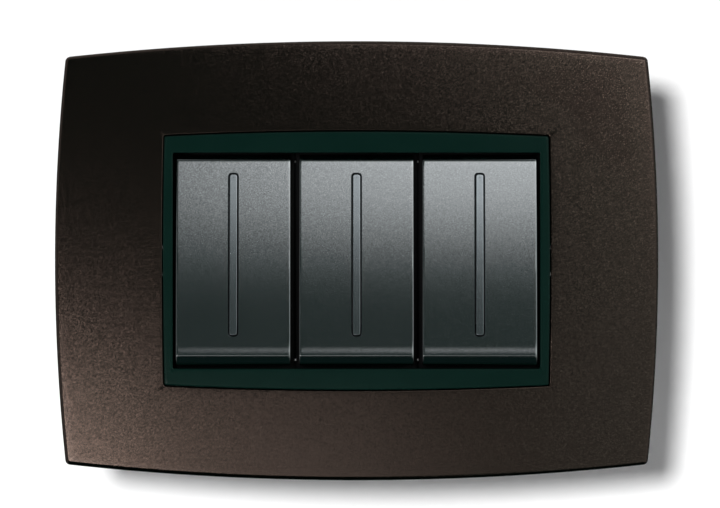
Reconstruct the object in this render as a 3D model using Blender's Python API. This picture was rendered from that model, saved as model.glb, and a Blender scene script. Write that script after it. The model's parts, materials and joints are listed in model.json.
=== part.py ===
"""A three-gang rocker switch behind a bowed cover plate, for a three-module wall box.

Sizes below are in millimetres, and the scene is in metres. +Z is up, the front faces -Y and the wall
is the plane Y = 0. The origin is the middle of the wall box's mouth. A shape's reach is written as
(low, high) pairs along X, Y and Z, so a smaller Y is nearer the user.
"""

import math

import bmesh
import bpy
from mathutils import Matrix, Vector

MM = 0.001
GAP = 0.3  # left between pieces that rest on each other

# Modules: one switch each, side by side
MODULE_PITCH = 25.0
MODULES = {"left": -MODULE_PITCH, "centre": 0.0, "right": MODULE_PITCH}
MODULE_HALF_WIDTH = 12.35

# Cover plate: a domed shell whose four sides bow outwards
PLATE_HALF_WIDTH = 61.35
PLATE_HALF_HEIGHT = 44.6
PLATE_BOW_X = 2.15
PLATE_BOW_Z = 3.15
PLATE_CORNER = 1.0
PLATE_WALL = 2.0
PLATE_EDGE_RADIUS = 0.8
CROWN = 10.2
DOME_DROP_X = 2.2
DOME_DROP_Z = 1.1
TAB_X = 48.0
TAB_Z = 30.0
TAB_HALF_WIDTH = 4.0
TAB_HALF_THICKNESS = 0.8
TAB_END = -1.0
PLATE_LOOPS = (0.35, 0.7)  # where the front is divided, as shares of the way from rim to opening

# Trim bezel: the glossy frame between plate and keys
BEZEL_HALF_WIDTH = 39.3
BEZEL_HALF_HEIGHT = 26.2
BEZEL_BOW_X = 0.3
BEZEL_BOW_Z = 0.95
BEZEL_CORNER = 0.6
BEZEL_PROUD = 0.35
BEZEL_BEVEL = 0.3
BEZEL_SEAM = 0.15
BEZEL_BACK = -8.0
MOUTH_HALF_WIDTH = 37.25
MOUTH_HALF_HEIGHT = 21.9
COLLAR_WALL = 1.2
COLLAR_BACK = -5.6
EAR_X = 25.0
EAR_HALF_WIDTH = 4.0
EAR_REACH = 28.0
EAR_Y = (-7.0, -6.0)

# Mounting frame: screwed to the wall box, holds modules and cover
FRAME_HALF_WIDTH = 55.0
FRAME_HALF_HEIGHT = 37.0
FRAME_CORNER = 4.0
FRAME_THICKNESS = 2.4
SEAT_HALF_WIDTH = 37.3
SEAT_HALF_HEIGHT = 22.6
SEAT_CORNER = 0.8
RAIL_Z = (22.6, 24.4)
RAIL_FRONT = -3.6
SCREW_SPACING = 83.5
SCREW_SLOT_RADIUS = 2.2
SCREW_SLOT_REACH = 2.6
WINDOW_HALF_WIDTH = 4.6
WINDOW_HALF_HEIGHT = 1.7

# Fixing screws
SCREW_RADIUS = 1.75
SCREW_HEAD_RADIUS = 3.2
SCREW_HEAD_HEIGHT = 2.0
SCREW_TIP = 21.0
CROSS_HALF_LENGTH = 2.0
CROSS_HALF_WIDTH = 0.4
CROSS_DEPTH = 1.2

# Rocker: key, light strip, cradle, plunger and spring turn together about the pivot
ROCKER_TILT = 4.5
PIVOT_Y = -6.0
PIVOT_RADIUS = 1.5
PIVOT_PLAY = 0.1
KEY_HALF_WIDTH = 11.6
KEY_HALF_HEIGHT = 21.25
KEY_CENTRE_Z = -0.2
KEY_FACE = -9.9
KEY_BOW = 0.6
KEY_SKIRT_BACK = -7.2
KEY_WALL = 1.2
KEY_FACE_WALL = 1.1
KEY_TOP_RADIUS = 0.7
LIP_START = -16.9
LIP_CREST = -19.5
LIP_HEIGHT = 0.45
SLOT_CENTRE_Z = 0.9
SLOT_HALF_LENGTH = 16.6
SLOT_HALF_WIDTH = 1.0
SLOT_CORNER = 0.75
STRIP_SEAM = 0.28
STRIP_PROUD = 0.05
HOOK_HALF_WIDTH = 4.0
HOOK_THICKNESS = 1.2
HOOK_GRIP = 1.2
HOOK_CLEARANCE = 0.4
HOOK_Y = (0.4, 0.8)  # depth of the hook's tip and heel behind the cradle's plate

# Cradle: the plastic lever that the key clips onto
CRADLE_HALF_WIDTH = 8.1
CRADLE_HALF_LENGTH = 13.0
CRADLE_PLATE_Y = (-8.5, -7.7)
CRADLE_BLOCK_Y = (-8.1, -4.2)
CRADLE_BLOCK_HALF_HEIGHT = 3.0
BLOCK_SHOULDER = 0.1
TRUNNION_REACH = 10.1
TUBE_RADIUS = 3.1
TUBE_BORE = 2.3
TUBE_Y = (-5.0, 1.0)
TUBE_BLIND_END = -6.4
PLUNGER_RADIUS = 1.95
PLUNGER_Y = (-1.0, 4.0)
PLUNGER_TAPER = 1.6
SPRING_RADIUS = 1.5
SPRING_WIRE = 0.25
SPRING_TURNS = 5

# Contacts
LEVER_TILT = 5.0
LEVER_PIVOT_Y = 5.5
LEVER_Y = (4.4, 5.2)
LEVER_HALF_WIDTH = 2.2
LEVER_Z = (-8.2, 9.0)
LEVER_WAIST = 1.54
LEVER_PAD_Z = (2.0, 3.0)  # the pad under the plunger, and where it has narrowed to the waist
LEVER_HEAD_Z = (4.4, 5.0)  # where the head for the contact widens
CONTACT_Z = 7.0
CONTACT_RADIUS = 1.7
MOVING_CONTACT_Y = (5.5, 6.1)
FIXED_CONTACT_Y = (6.95, 7.7)
STRIP_Y = (8.0, 9.0)
STRIP_HALF_WIDTH = 2.6
FULCRUM_HALF_WIDTH = 1.56
FULCRUM_BASE = 8.4
FULCRUM_Z = (0.2, 1.2)  # half heights of its edge and its foot
REST_LENGTH = 1.5
REST_OVERLAP = 0.3

# Terminals
CELL_Y = (17.0, 27.0)
CELL_Z = (10.2, 16.4)
CELL_HALF_WIDTH = 5.4
WIRE_X = 2.6
WIRE_Z = 12.4
WIRE_RADIUS = 1.5
CLAMP_Y = 22.0
CLAMP_RADIUS = 1.5
CLAMP_HEAD_RADIUS = 2.5
CLAMP_HEAD_Z = (17.6, 19.5)
CLAMP_TIP_Z = 14.4
CLAMP_SLOT_HALF_WIDTH = 0.35
CLAMP_SLOT_DEPTH = 0.9
BUS_Z = (11.9, 13.1)
LOAD_STRIP_END = 4.8
COMMON_STRIP_END = -1.6

# Carrier: the module's front, with the rocker's bearings
CARRIER_Y = (-5.2, -3.6)
CARRIER_HALF_HEIGHT = 22.2
CARRIER_WINDOW = (8.4, 9.0)
CHEEK_X = (8.6, 10.0)
CHEEK_FRONT = -8.1
CHEEK_HALF_HEIGHT = 3.6
LUG_HALF_WIDTH = 9.0
LUG_REACH = 24.6
TONGUE_Y = (-4.3, -3.6)
TONGUE_WIDTH = 0.6
TONGUE_HALF_HEIGHT = 20.0
PRONG_Z = (20.7, 21.9)
PRONG_HALF_WIDTH = 3.0
PRONG_END = 2.2
BARB_REACH = 23.2
PRONG_TAPER = 0.4
OVERLAP = 0.6  # how far a rib or finger runs into the wall it stands on

# Housing: the box behind the carrier
HOUSING_HALF_WIDTH = 12.0
HOUSING_HALF_HEIGHT = 20.4
HOUSING_Y = (-3.3, 30.0)
HOUSING_WALL = 1.4
CELL_WALL_X = (6.0, 7.2)
CELL_WALL_START = 15.0
WIRE_ENTRY_RADIUS = 1.9
DRIVER_HOLE_RADIUS = 2.9

# Finishes: base colour, roughness, metallic
FINISHES = {
    "bronze_paint": ((0.058, 0.045, 0.036), 0.42, 0.7),
    "green_black_gloss": ((0.006, 0.014, 0.011), 0.2, 0.0),
    "anthracite_paint": ((0.085, 0.095, 0.11), 0.4, 0.6),
    "smoked_lens": ((0.12, 0.13, 0.15), 0.25, 0.0),
    "black_polyamide": ((0.02, 0.02, 0.021), 0.6, 0.0),
    "black_polycarbonate": ((0.012, 0.012, 0.013), 0.5, 0.0),
    "grey_thermoset": ((0.34, 0.35, 0.36), 0.55, 0.0),
    "white_acetal": ((0.75, 0.74, 0.70), 0.4, 0.0),
    "brass": ((0.66, 0.46, 0.18), 0.3, 1.0),
    "silver_alloy": ((0.78, 0.77, 0.74), 0.25, 1.0),
    "zinc_plated_steel": ((0.55, 0.56, 0.58), 0.32, 1.0),
}


def clear_scene():
    for old in list(bpy.data.objects):
        bpy.data.objects.remove(old)


def material(part_name, finish):
    """The part's own Principled BSDF material."""
    colour, roughness, metallic = FINISHES[finish]
    made = bpy.data.materials.new(f"{part_name}_{finish}")
    made.use_nodes = True
    shader = made.node_tree.nodes["Principled BSDF"]
    shader.inputs["Base Color"].default_value = (*colour, 1.0)
    shader.inputs["Roughness"].default_value = roughness
    shader.inputs["Metallic"].default_value = metallic
    return made


# Shapes. Each returns a closed bmesh in millimetres.


def outward(shape):
    """A closed shape with every face turned outwards."""
    bmesh.ops.recalc_face_normals(shape, faces=shape.faces)
    if shape.calc_volume(signed=True) < 0:
        bmesh.ops.reverse_faces(shape, faces=shape.faces)
    return shape


def loft(loops, ring=False):
    """Skin over loops of equally many points. Its ends are capped, or meet if it is a ring."""
    shape = bmesh.new()
    rows = [[shape.verts.new(point) for point in loop] for loop in loops]
    pairs = list(zip(rows, rows[1:] + rows[:1]))
    for near, far in pairs if ring else pairs[:-1]:
        for i in range(len(near)):
            j = (i + 1) % len(near)
            shape.faces.new((near[i], near[j], far[j], far[i]))
    if not ring:
        shape.faces.new(rows[0])
        shape.faces.new(rows[-1])
    return outward(shape)


def block(x, y, z):
    """A box between the given (low, high) pairs."""
    corners = ((x[0], z[0]), (x[1], z[0]), (x[1], z[1]), (x[0], z[1]))
    return slab(corners, y)


def slab(outline, y):
    """An (x, z) outline extruded along Y."""
    return loft([[(px, depth, pz) for px, pz in outline] for depth in y])


def prism(profile, x):
    """A (y, z) profile extruded along X."""
    return loft([[(side, py, pz) for py, pz in profile] for side in x])


def circle(radius, segments):
    step = math.tau / segments
    return [(radius * math.cos(i * step), radius * math.sin(i * step)) for i in range(segments)]


def turned(profile, axis="Y", centre=(0, 0, 0), segments=16):
    """A body of revolution. profile is (distance along the axis, radius) pairs."""
    turns = {"X": ("Y", 90), "Y": ("X", -90), "Z": ("X", 0)}
    around, degrees = turns[axis]
    shape = loft([[(u, v, along) for u, v in circle(radius, segments)] for along, radius in profile])
    shape.transform(Matrix.Translation(centre) @ Matrix.Rotation(math.radians(degrees), 4, around))
    return shape


def stadium(half_length, half_width, centre_x=0.0, centre_z=0.0, arc_points=7):
    """An (x, z) outline with two straight sides along Z and half-round ends."""
    outline = []
    for end, start in ((1, 0.0), (-1, math.pi)):
        for i in range(arc_points):
            angle = start + math.pi * i / (arc_points - 1)
            x = centre_x + half_width * math.cos(angle)
            outline.append((x, centre_z + end * (half_length - half_width) + half_width * math.sin(angle)))
    return outline


def bow(share, half_chord, rise):
    """Height over its chord of a circular arc, at a share (-1 to 1) of the half chord."""
    if rise == 0:
        return 0.0
    radius = (half_chord**2 + rise**2) / (2 * rise)
    return math.sqrt(radius**2 - (half_chord * share) ** 2) - (radius - rise)


def bowed_outline(half_width, half_height, bow_x, bow_z, corner, side_points=7, corner_points=2):
    """A rectangle (x, z) with sides that bow outwards and rounded corners, anticlockwise."""
    chord_x, chord_z = half_width - bow_x, half_height - bow_z
    outline = []
    for quarter in range(4):
        upright = quarter % 2 == 0
        along, out = (chord_z, chord_x) if upright else (chord_x, chord_z)
        rise = bow_x if upright else bow_z
        straight = 1 - corner / along
        side = []
        for i in range(side_points):
            share = straight * (2 * i / (side_points - 1) - 1)
            side.append(Vector((out + bow(share, along, rise), along * share)))
        next_rise = bow_z if upright else bow_x
        start, tip = side[-1], Vector((out, along))
        end = Vector((out - corner, along + bow(1 - corner / out, out, next_rise)))
        for i in range(1, corner_points + 1):
            t = i / (corner_points + 1)
            side.append(start * (1 - t) ** 2 + tip * (2 * t * (1 - t)) + end * t**2)
        turn = Matrix.Rotation(math.pi / 2 * quarter, 2)
        outline += [turn @ point for point in side]
    return outline


def merged(*shapes):
    """Several shapes that don't touch, as one."""
    whole = bmesh.new()
    for shape in shapes:
        spare = bpy.data.meshes.new("spare")
        shape.to_mesh(spare)
        whole.from_mesh(spare)
        shape.free()
        bpy.data.meshes.remove(spare)
    return whole


def both(make, *args):
    """A shape made for +1 and again for -1, as one."""
    return merged(make(1, *args), make(-1, *args))


def ordered(a, b):
    return (min(a, b), max(a, b))


def mirrored(side, pair):
    """A (low, high) pair on the plus side, or the same pair on the minus side."""
    return ordered(side * pair[0], side * pair[1])


def as_mesh(name, shape):
    shape.transform(Matrix.Scale(MM, 4))
    mesh = bpy.data.meshes.new(name)
    shape.to_mesh(mesh)
    shape.free()
    mesh.shade_smooth()
    mesh.set_sharp_from_angle(angle=math.radians(35))
    return mesh


def place(thing, parent, at=(0, 0, 0), tilt=0.0):
    bpy.context.collection.objects.link(thing)
    thing.parent = parent
    thing.location = Vector(at) * MM
    thing.rotation_euler = (math.radians(tilt), 0, 0)
    return thing


def build(name, finish, shape, *steps, parent=None, at=(0, 0, 0)):
    """One named part. Each step is ("UNION" or "DIFFERENCE", shape), in order."""
    mesh = as_mesh(name, shape)
    mesh.materials.append(material(name, finish))
    part = place(bpy.data.objects.new(name, mesh), parent, at)
    for number, (operation, tool) in enumerate(steps):
        helper = bpy.data.objects.new(f"{name}_tool_{number}", as_mesh(f"{name}_tool", tool))
        place(helper, part)
        helper.hide_render = True
        helper.display_type = "WIRE"
        modifier = part.modifiers.new(operation.title(), "BOOLEAN")
        modifier.operation = operation
        modifier.object = helper
        modifier.solver = "EXACT"
    return part


# Cover: plate and bezel


def dome(x, z):
    """Y of the plate's front at (x, z)."""
    return -CROWN + DOME_DROP_X * (x / PLATE_HALF_WIDTH) ** 2 + DOME_DROP_Z * (z / PLATE_HALF_HEIGHT) ** 2


def on_dome(outline, raised=0.0):
    return [(x, dome(x, z) - raised, z) for x, z in outline]


def flat(outline, y):
    return [(x, y, z) for x, z in outline]


def between(outer, inner, share):
    return [a.lerp(b, share) for a, b in zip(outer, inner)]


def plate_outline(inset):
    return bowed_outline(
        PLATE_HALF_WIDTH - inset,
        PLATE_HALF_HEIGHT - inset,
        PLATE_BOW_X,
        PLATE_BOW_Z,
        max(PLATE_CORNER - inset, 0.4),
    )


def bezel_outline(inset):
    return bowed_outline(
        BEZEL_HALF_WIDTH - inset,
        BEZEL_HALF_HEIGHT - inset,
        BEZEL_BOW_X,
        BEZEL_BOW_Z,
        BEZEL_CORNER,
    )


def mouth_outline(outset):
    return bowed_outline(MOUTH_HALF_WIDTH + outset, MOUTH_HALF_HEIGHT + outset, 0, 0, BEZEL_CORNER)


def snap_tabs():
    """Four tabs inside the plate that enter the mounting frame's windows."""
    tabs = []
    for x in (-TAB_X, TAB_X):
        for z in (-TAB_Z, TAB_Z):
            root = dome(x, z) + PLATE_WALL / 2
            reach_z = (z - TAB_HALF_THICKNESS, z + TAB_HALF_THICKNESS)
            tabs.append(block((x - TAB_HALF_WIDTH, x + TAB_HALF_WIDTH), (root, TAB_END), reach_z))
    return merged(*tabs)


def cover_plate():
    rim = plate_outline(0)
    crest = plate_outline(PLATE_EDGE_RADIUS)
    hole = bezel_outline(-BEZEL_SEAM)
    bend = PLATE_EDGE_RADIUS * (1 - math.sqrt(0.5))
    inner_rim = plate_outline(PLATE_WALL)
    loops = [
        flat(rim, 0),
        on_dome(rim, -PLATE_EDGE_RADIUS),
        on_dome(plate_outline(bend), -bend),
        on_dome(crest),
        *(on_dome(between(crest, hole, share)) for share in PLATE_LOOPS),
        on_dome(hole),
        on_dome(hole, -PLATE_WALL),
        on_dome(between(hole, inner_rim, 0.5), -PLATE_WALL),
        on_dome(inner_rim, -PLATE_WALL),
        flat(inner_rim, 0),
    ]
    build("cover_plate", "bronze_paint", loft(loops, ring=True), ("UNION", snap_tabs()))


def bezel_ears(side):
    """Snap ears above or below the collar that catch behind the plate."""
    z = mirrored(side, (MOUTH_HALF_HEIGHT + COLLAR_WALL / 2, EAR_REACH))
    return merged(*(block((x - EAR_HALF_WIDTH, x + EAR_HALF_WIDTH), EAR_Y, z) for x in (-EAR_X, EAR_X)))


def trim_bezel():
    rim = bezel_outline(0)
    crest = bezel_outline(BEZEL_BEVEL)
    mouth = mouth_outline(0)
    loops = [
        flat(rim, BEZEL_BACK),
        on_dome(rim, BEZEL_PROUD - BEZEL_BEVEL),
        on_dome(crest, BEZEL_PROUD),
        on_dome(mouth_outline(BEZEL_BEVEL), BEZEL_PROUD),
        on_dome(mouth, BEZEL_PROUD - BEZEL_BEVEL),
        flat(mouth, COLLAR_BACK),
        flat(mouth_outline(COLLAR_WALL), COLLAR_BACK),
        flat(mouth_outline(COLLAR_WALL), BEZEL_BACK),
    ]
    build("trim_bezel", "green_black_gloss", loft(loops, ring=True), ("UNION", both(bezel_ears)))


# Mounting frame and its screws


def frame_outline():
    return bowed_outline(FRAME_HALF_WIDTH, FRAME_HALF_HEIGHT, 0, 0, FRAME_CORNER)


def seat_outline():
    return bowed_outline(SEAT_HALF_WIDTH, SEAT_HALF_HEIGHT, 0, 0, SEAT_CORNER)


def rail(side):
    """The raised edge that the modules' lugs rest on, above or below the seat."""
    y = (RAIL_FRONT, -FRAME_THICKNESS / 2)
    return block((-SEAT_HALF_WIDTH, SEAT_HALF_WIDTH), y, mirrored(side, RAIL_Z))


def frame_holes():
    """Screw slots and windows for the cover's tabs."""
    through = (-FRAME_THICKNESS - 1, 1)
    holes = []
    for side in (-1, 1):
        x = side * SCREW_SPACING / 2
        slot = stadium(SCREW_SLOT_RADIUS + SCREW_SLOT_REACH, SCREW_SLOT_RADIUS, x)
        holes.append(slab(slot, through))
        for z in (-TAB_Z, TAB_Z):
            window_x = (side * TAB_X - WINDOW_HALF_WIDTH, side * TAB_X + WINDOW_HALF_WIDTH)
            holes.append(block(window_x, through, (z - WINDOW_HALF_HEIGHT, z + WINDOW_HALF_HEIGHT)))
    return merged(*holes)


def mounting_frame():
    outer, inner = frame_outline(), seat_outline()
    loops = [flat(outer, 0), flat(outer, -FRAME_THICKNESS), flat(inner, -FRAME_THICKNESS), flat(inner, 0)]
    build(
        "mounting_frame",
        "black_polyamide",
        loft(loops, ring=True),
        ("UNION", both(rail)),
        ("DIFFERENCE", frame_holes()),
    )


def fixing_screw(name, x):
    seat = -FRAME_THICKNESS - GAP
    crown = seat - SCREW_HEAD_HEIGHT
    profile = [
        (crown, SCREW_HEAD_RADIUS * 0.75),
        (crown + SCREW_HEAD_HEIGHT * 0.4, SCREW_HEAD_RADIUS),
        (seat, SCREW_HEAD_RADIUS),
        (seat, SCREW_RADIUS),
        (SCREW_TIP - SCREW_RADIUS * 2, SCREW_RADIUS),
        (SCREW_TIP, SCREW_RADIUS * 0.2),
    ]
    long = (-CROSS_HALF_LENGTH, CROSS_HALF_LENGTH)
    short = (-CROSS_HALF_WIDTH, CROSS_HALF_WIDTH)
    depth = (crown - 1, crown + CROSS_DEPTH)
    build(
        name,
        "zinc_plated_steel",
        turned(profile),
        ("DIFFERENCE", block(long, depth, short)),
        ("DIFFERENCE", block(short, depth, long)),
        at=(x, 0, 0),
    )


# Rocker


def key_front(z):
    """Y of the key's face at a height: slightly convex, with a finger lip near the bottom."""
    share = min(max((LIP_START - z) / (LIP_START - LIP_CREST), 0), 1)
    lip = LIP_HEIGHT * (1 - math.cos(math.pi * share)) / 2
    return KEY_FACE - bow((z - KEY_CENTRE_Z) / KEY_HALF_HEIGHT, KEY_HALF_HEIGHT, KEY_BOW) - lip


def key_profile():
    """The key's side view (y, z), from the top of its skirt over the face to the bottom."""
    top, bottom = KEY_CENTRE_Z + KEY_HALF_HEIGHT, KEY_CENTRE_Z - KEY_HALF_HEIGHT
    shoulder = top - KEY_TOP_RADIUS
    points = [(KEY_SKIRT_BACK, top)]
    for i in range(3):
        angle = math.radians(30 * i)
        y = key_front(shoulder) + KEY_TOP_RADIUS * (1 - math.sin(angle))
        points.append((y, shoulder + KEY_TOP_RADIUS * math.cos(angle)))
    for i in range(9):
        z = shoulder + (LIP_START - shoulder) * i / 8
        points.append((key_front(z), z))
    for i in range(1, 7):
        z = LIP_START + (LIP_CREST - LIP_START) * i / 6
        points.append((key_front(z), z))
    drop = LIP_CREST - bottom
    for i in range(1, 6):
        angle = math.radians(18 * i)
        y = key_front(LIP_CREST) + drop * 0.8 * (1 - math.cos(angle))
        points.append((y, LIP_CREST - drop * math.sin(angle)))
    points.append((KEY_SKIRT_BACK, bottom))
    return points


def key_cavity():
    half_width = KEY_HALF_WIDTH - KEY_WALL
    half_height = KEY_HALF_HEIGHT - KEY_WALL
    return block(
        (-half_width, half_width),
        (KEY_FACE + KEY_FACE_WALL, KEY_SKIRT_BACK + 1),
        (KEY_CENTRE_Z - half_height, KEY_CENTRE_Z + half_height),
    )


def key_hook(side):
    """A hook under the key that grips one end of the cradle's plate."""
    root = KEY_FACE + KEY_FACE_WALL / 2
    inner = CRADLE_HALF_LENGTH + HOOK_CLEARANCE
    outer = inner + HOOK_THICKNESS
    under = CRADLE_PLATE_Y[1] + GAP
    profile = [
        (root, inner),
        (under, inner),
        (under, inner - HOOK_GRIP),
        (under + HOOK_Y[0], inner - HOOK_GRIP),
        (under + HOOK_Y[1], inner),
        (under + HOOK_Y[1], outer),
        (root, outer),
    ]
    return prism([(y, side * z) for y, z in profile], (-HOOK_HALF_WIDTH, HOOK_HALF_WIDTH))


def slot_cutter():
    outline = bowed_outline(SLOT_HALF_WIDTH, SLOT_HALF_LENGTH, 0, 0, SLOT_CORNER)
    raised = [(x, z + SLOT_CENTRE_Z) for x, z in outline]
    return slab(raised, (KEY_FACE - KEY_BOW - 1, KEY_FACE + KEY_FACE_WALL + 1))


def rocker_key(place_name, parent, at):
    build(
        f"rocker_key_{place_name}",
        "anthracite_paint",
        prism(key_profile(), (-KEY_HALF_WIDTH, KEY_HALF_WIDTH)),
        ("DIFFERENCE", key_cavity()),
        ("UNION", both(key_hook)),
        ("DIFFERENCE", slot_cutter()),
        parent=parent,
        at=at,
    )


def light_strip(place_name, parent, at):
    """The narrow lens that fills the key's slot, with a seam round it."""
    half_length, half_width = SLOT_HALF_LENGTH - STRIP_SEAM, SLOT_HALF_WIDTH - STRIP_SEAM
    corner = SLOT_CORNER - STRIP_SEAM
    stations = [(half_length - corner) * (i / 4 - 1) for i in range(9)]
    widths = [half_width] * len(stations)
    for angle in (math.radians(45), math.radians(90)):
        end = half_length - corner + corner * math.sin(angle)
        stations = [-end, *stations, end]
        width = half_width - corner + corner * math.cos(angle)
        widths = [width, *widths, width]
    back = KEY_FACE + KEY_FACE_WALL
    loops = []
    for offset, width in zip(stations, widths):
        z = SLOT_CENTRE_Z + offset
        front = key_front(z) - STRIP_PROUD
        loops.append([(-width, back, z), (width, back, z), (width, front, z), (-width, front, z)])
    build(f"light_strip_{place_name}", "smoked_lens", loft(loops), parent=parent, at=at)


def rocker_cradle(place_name, parent, at):
    """The lever under the key: a plate, a pivot block with trunnions and the plunger's tube."""
    x = (-CRADLE_HALF_WIDTH, CRADLE_HALF_WIDTH)
    block_x = (x[0] + BLOCK_SHOULDER, x[1] - BLOCK_SHOULDER)
    z = (-CRADLE_BLOCK_HALF_HEIGHT, CRADLE_BLOCK_HALF_HEIGHT)
    trunnions = [(-TRUNNION_REACH, PIVOT_RADIUS), (TRUNNION_REACH, PIVOT_RADIUS)]
    build(
        f"rocker_cradle_{place_name}",
        "black_polyamide",
        block(x, CRADLE_PLATE_Y, (-CRADLE_HALF_LENGTH, CRADLE_HALF_LENGTH)),
        ("UNION", block(block_x, CRADLE_BLOCK_Y, z)),
        ("UNION", turned(trunnions, "X", (0, PIVOT_Y, 0), 20)),
        ("UNION", turned([(end, TUBE_RADIUS) for end in TUBE_Y], segments=16)),
        ("DIFFERENCE", turned([(TUBE_BLIND_END, TUBE_BORE), (TUBE_Y[1] + 1, TUBE_BORE)], segments=16)),
        parent=parent,
        at=at,
    )


def plunger(place_name, parent, at):
    """A pin with a domed tip that the spring pushes out of the cradle's tube."""
    back, tip = PLUNGER_Y
    profile = [
        (back, PLUNGER_RADIUS * 0.85),
        (back + GAP, PLUNGER_RADIUS),
        (tip - PLUNGER_TAPER, PLUNGER_RADIUS),
        (tip - PLUNGER_TAPER / 3, PLUNGER_RADIUS * 0.6),
        (tip, PLUNGER_RADIUS * 0.25),
    ]
    build(f"plunger_{place_name}", "white_acetal", turned(profile, segments=14), parent=parent, at=at)


def plunger_spring(place_name, parent, at):
    """A helix of round wire between the tube's end and the plunger."""
    start = TUBE_BLIND_END + GAP + SPRING_WIRE
    end = PLUNGER_Y[0] - GAP - SPRING_WIRE
    steps_per_turn, wire_sides = 10, 6
    count = SPRING_TURNS * steps_per_turn
    loops = []
    for i in range(count + 1):
        angle = math.tau * i / steps_per_turn
        radial = Vector((math.cos(angle), 0, math.sin(angle)))
        centre = radial * SPRING_RADIUS + Vector((0, start + (end - start) * i / count, 0))
        loops.append([centre + radial * u + Vector((0, v, 0)) for u, v in circle(SPRING_WIRE, wire_sides)])
    build(f"plunger_spring_{place_name}", "zinc_plated_steel", loft(loops), parent=parent, at=at)


# Contacts and terminals


def contact_disc(name, y, parent, at=(0, 0, 0)):
    profile = [(y[0], CONTACT_RADIUS), (y[1], CONTACT_RADIUS)]
    disc = turned(profile, centre=(0, 0, CONTACT_Z), segments=12)
    build(name, "silver_alloy", disc, parent=parent, at=at)


def contact_lever(place_name, parent, at):
    """The see-saw: a strip that is wider where the plunger rides and at its contact."""
    low, high = LEVER_Z
    waist, wide = LEVER_WAIST, LEVER_HALF_WIDTH
    pad, pad_end = LEVER_PAD_Z
    right = [(waist, low), (waist, -pad_end), (wide, -pad), (wide, pad), (waist, pad_end)]
    right += [(waist, LEVER_HEAD_Z[0]), (wide, LEVER_HEAD_Z[1]), (wide, high)]
    outline = right + [(-x, z) for x, z in reversed(right)]
    build(f"contact_lever_{place_name}", "brass", slab(outline, LEVER_Y), parent=parent, at=at)


def terminal_cell(side):
    z = mirrored(side, CELL_Z)
    return block((-CELL_HALF_WIDTH, CELL_HALF_WIDTH), CELL_Y, z)


def terminal_bores(side):
    """Two wire holes along Y."""
    reach = [(CELL_Y[0] + 2, WIRE_RADIUS), (CELL_Y[1] + 1, WIRE_RADIUS)]
    return merged(*(turned(reach, centre=(x, 0, side * WIRE_Z), segments=12) for x in (-WIRE_X, WIRE_X)))


def clamp_bore(side):
    """The threaded hole for the clamp screw, from outside into the wire holes' space."""
    radius = CLAMP_RADIUS + PIVOT_PLAY
    reach = sorted([side * (CLAMP_TIP_Z - GAP), side * (CELL_Z[1] + 1)])
    return turned([(end, radius) for end in reach], "Z", (0, CLAMP_Y, 0), 12)


def bus(side, reach_z):
    """The strip from a terminal cell to the contacts, bent once."""
    x = (-STRIP_HALF_WIDTH, STRIP_HALF_WIDTH)
    outer, thick = BUS_Z[1], BUS_Z[1] - BUS_Z[0]
    profile = [
        (CELL_Y[0] + 1, outer),
        (STRIP_Y[0], outer),
        (STRIP_Y[0], reach_z),
        (STRIP_Y[1], reach_z),
        (STRIP_Y[1], outer - thick),
        (CELL_Y[0] + 1, outer - thick),
    ]
    return prism([(y, side * z) for y, z in profile], x)


def terminal(name, side, strip_end, parent, *extra):
    build(
        name,
        "brass",
        terminal_cell(side),
        ("UNION", bus(side, strip_end)),
        *extra,
        ("DIFFERENCE", terminal_bores(side)),
        ("DIFFERENCE", clamp_bore(side)),
        parent=parent,
    )


def fulcrum():
    """The knife edge that the lever rocks on, and the stop for its lower end."""
    base, edge = FULCRUM_BASE, LEVER_PIVOT_Y
    tip, foot = FULCRUM_Z
    x = (-FULCRUM_HALF_WIDTH, FULCRUM_HALF_WIDTH)
    knife = prism([(base, -foot), (edge, -tip), (edge, tip), (base, foot)], x)
    rest = LEVER_Y[1] - LEVER_Z[0] * math.sin(math.radians(LEVER_TILT)) + GAP
    start = LEVER_Z[0] - REST_OVERLAP
    return merged(knife, block(x, (rest, base), (start, start + REST_LENGTH)))


def clamp_screw(name, side, parent):
    head_low, head_high = CLAMP_HEAD_Z
    profile = [
        (CLAMP_TIP_Z, CLAMP_RADIUS * 0.8),
        (CLAMP_TIP_Z + 0.4, CLAMP_RADIUS),
        (head_low, CLAMP_RADIUS),
        (head_low, CLAMP_HEAD_RADIUS),
        (head_high, CLAMP_HEAD_RADIUS),
    ]
    profile = profile if side > 0 else [(-along, radius) for along, radius in reversed(profile)]
    slot_x = (-CLAMP_HEAD_RADIUS - 1, CLAMP_HEAD_RADIUS + 1)
    slot_y = (CLAMP_Y - CLAMP_SLOT_HALF_WIDTH, CLAMP_Y + CLAMP_SLOT_HALF_WIDTH)
    slot_z = mirrored(side, (head_high - CLAMP_SLOT_DEPTH, head_high + 1))
    build(
        name,
        "zinc_plated_steel",
        turned(profile, "Z", (0, CLAMP_Y, 0), 14),
        ("DIFFERENCE", block(slot_x, slot_y, slot_z)),
        parent=parent,
    )


# Carrier and housing


def cheek(side):
    """The ear beside the rocker that holds one trunnion."""
    y = (CHEEK_FRONT, CARRIER_Y[1] - OVERLAP)
    return block(mirrored(side, CHEEK_X), y, (-CHEEK_HALF_HEIGHT, CHEEK_HALF_HEIGHT))


def pivot_bore(side):
    reach = mirrored(side, (CARRIER_WINDOW[0] - 1, TRUNNION_REACH + GAP))
    return turned([(end, PIVOT_RADIUS + PIVOT_PLAY) for end in reach], "X", (0, PIVOT_Y, 0), 20)


def tongue():
    """A ridge on the right edge that closes the gap to the next carrier."""
    x = (MODULE_HALF_WIDTH - OVERLAP, MODULE_HALF_WIDTH + TONGUE_WIDTH)
    return block(x, TONGUE_Y, (-TONGUE_HALF_HEIGHT, TONGUE_HALF_HEIGHT))


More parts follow.
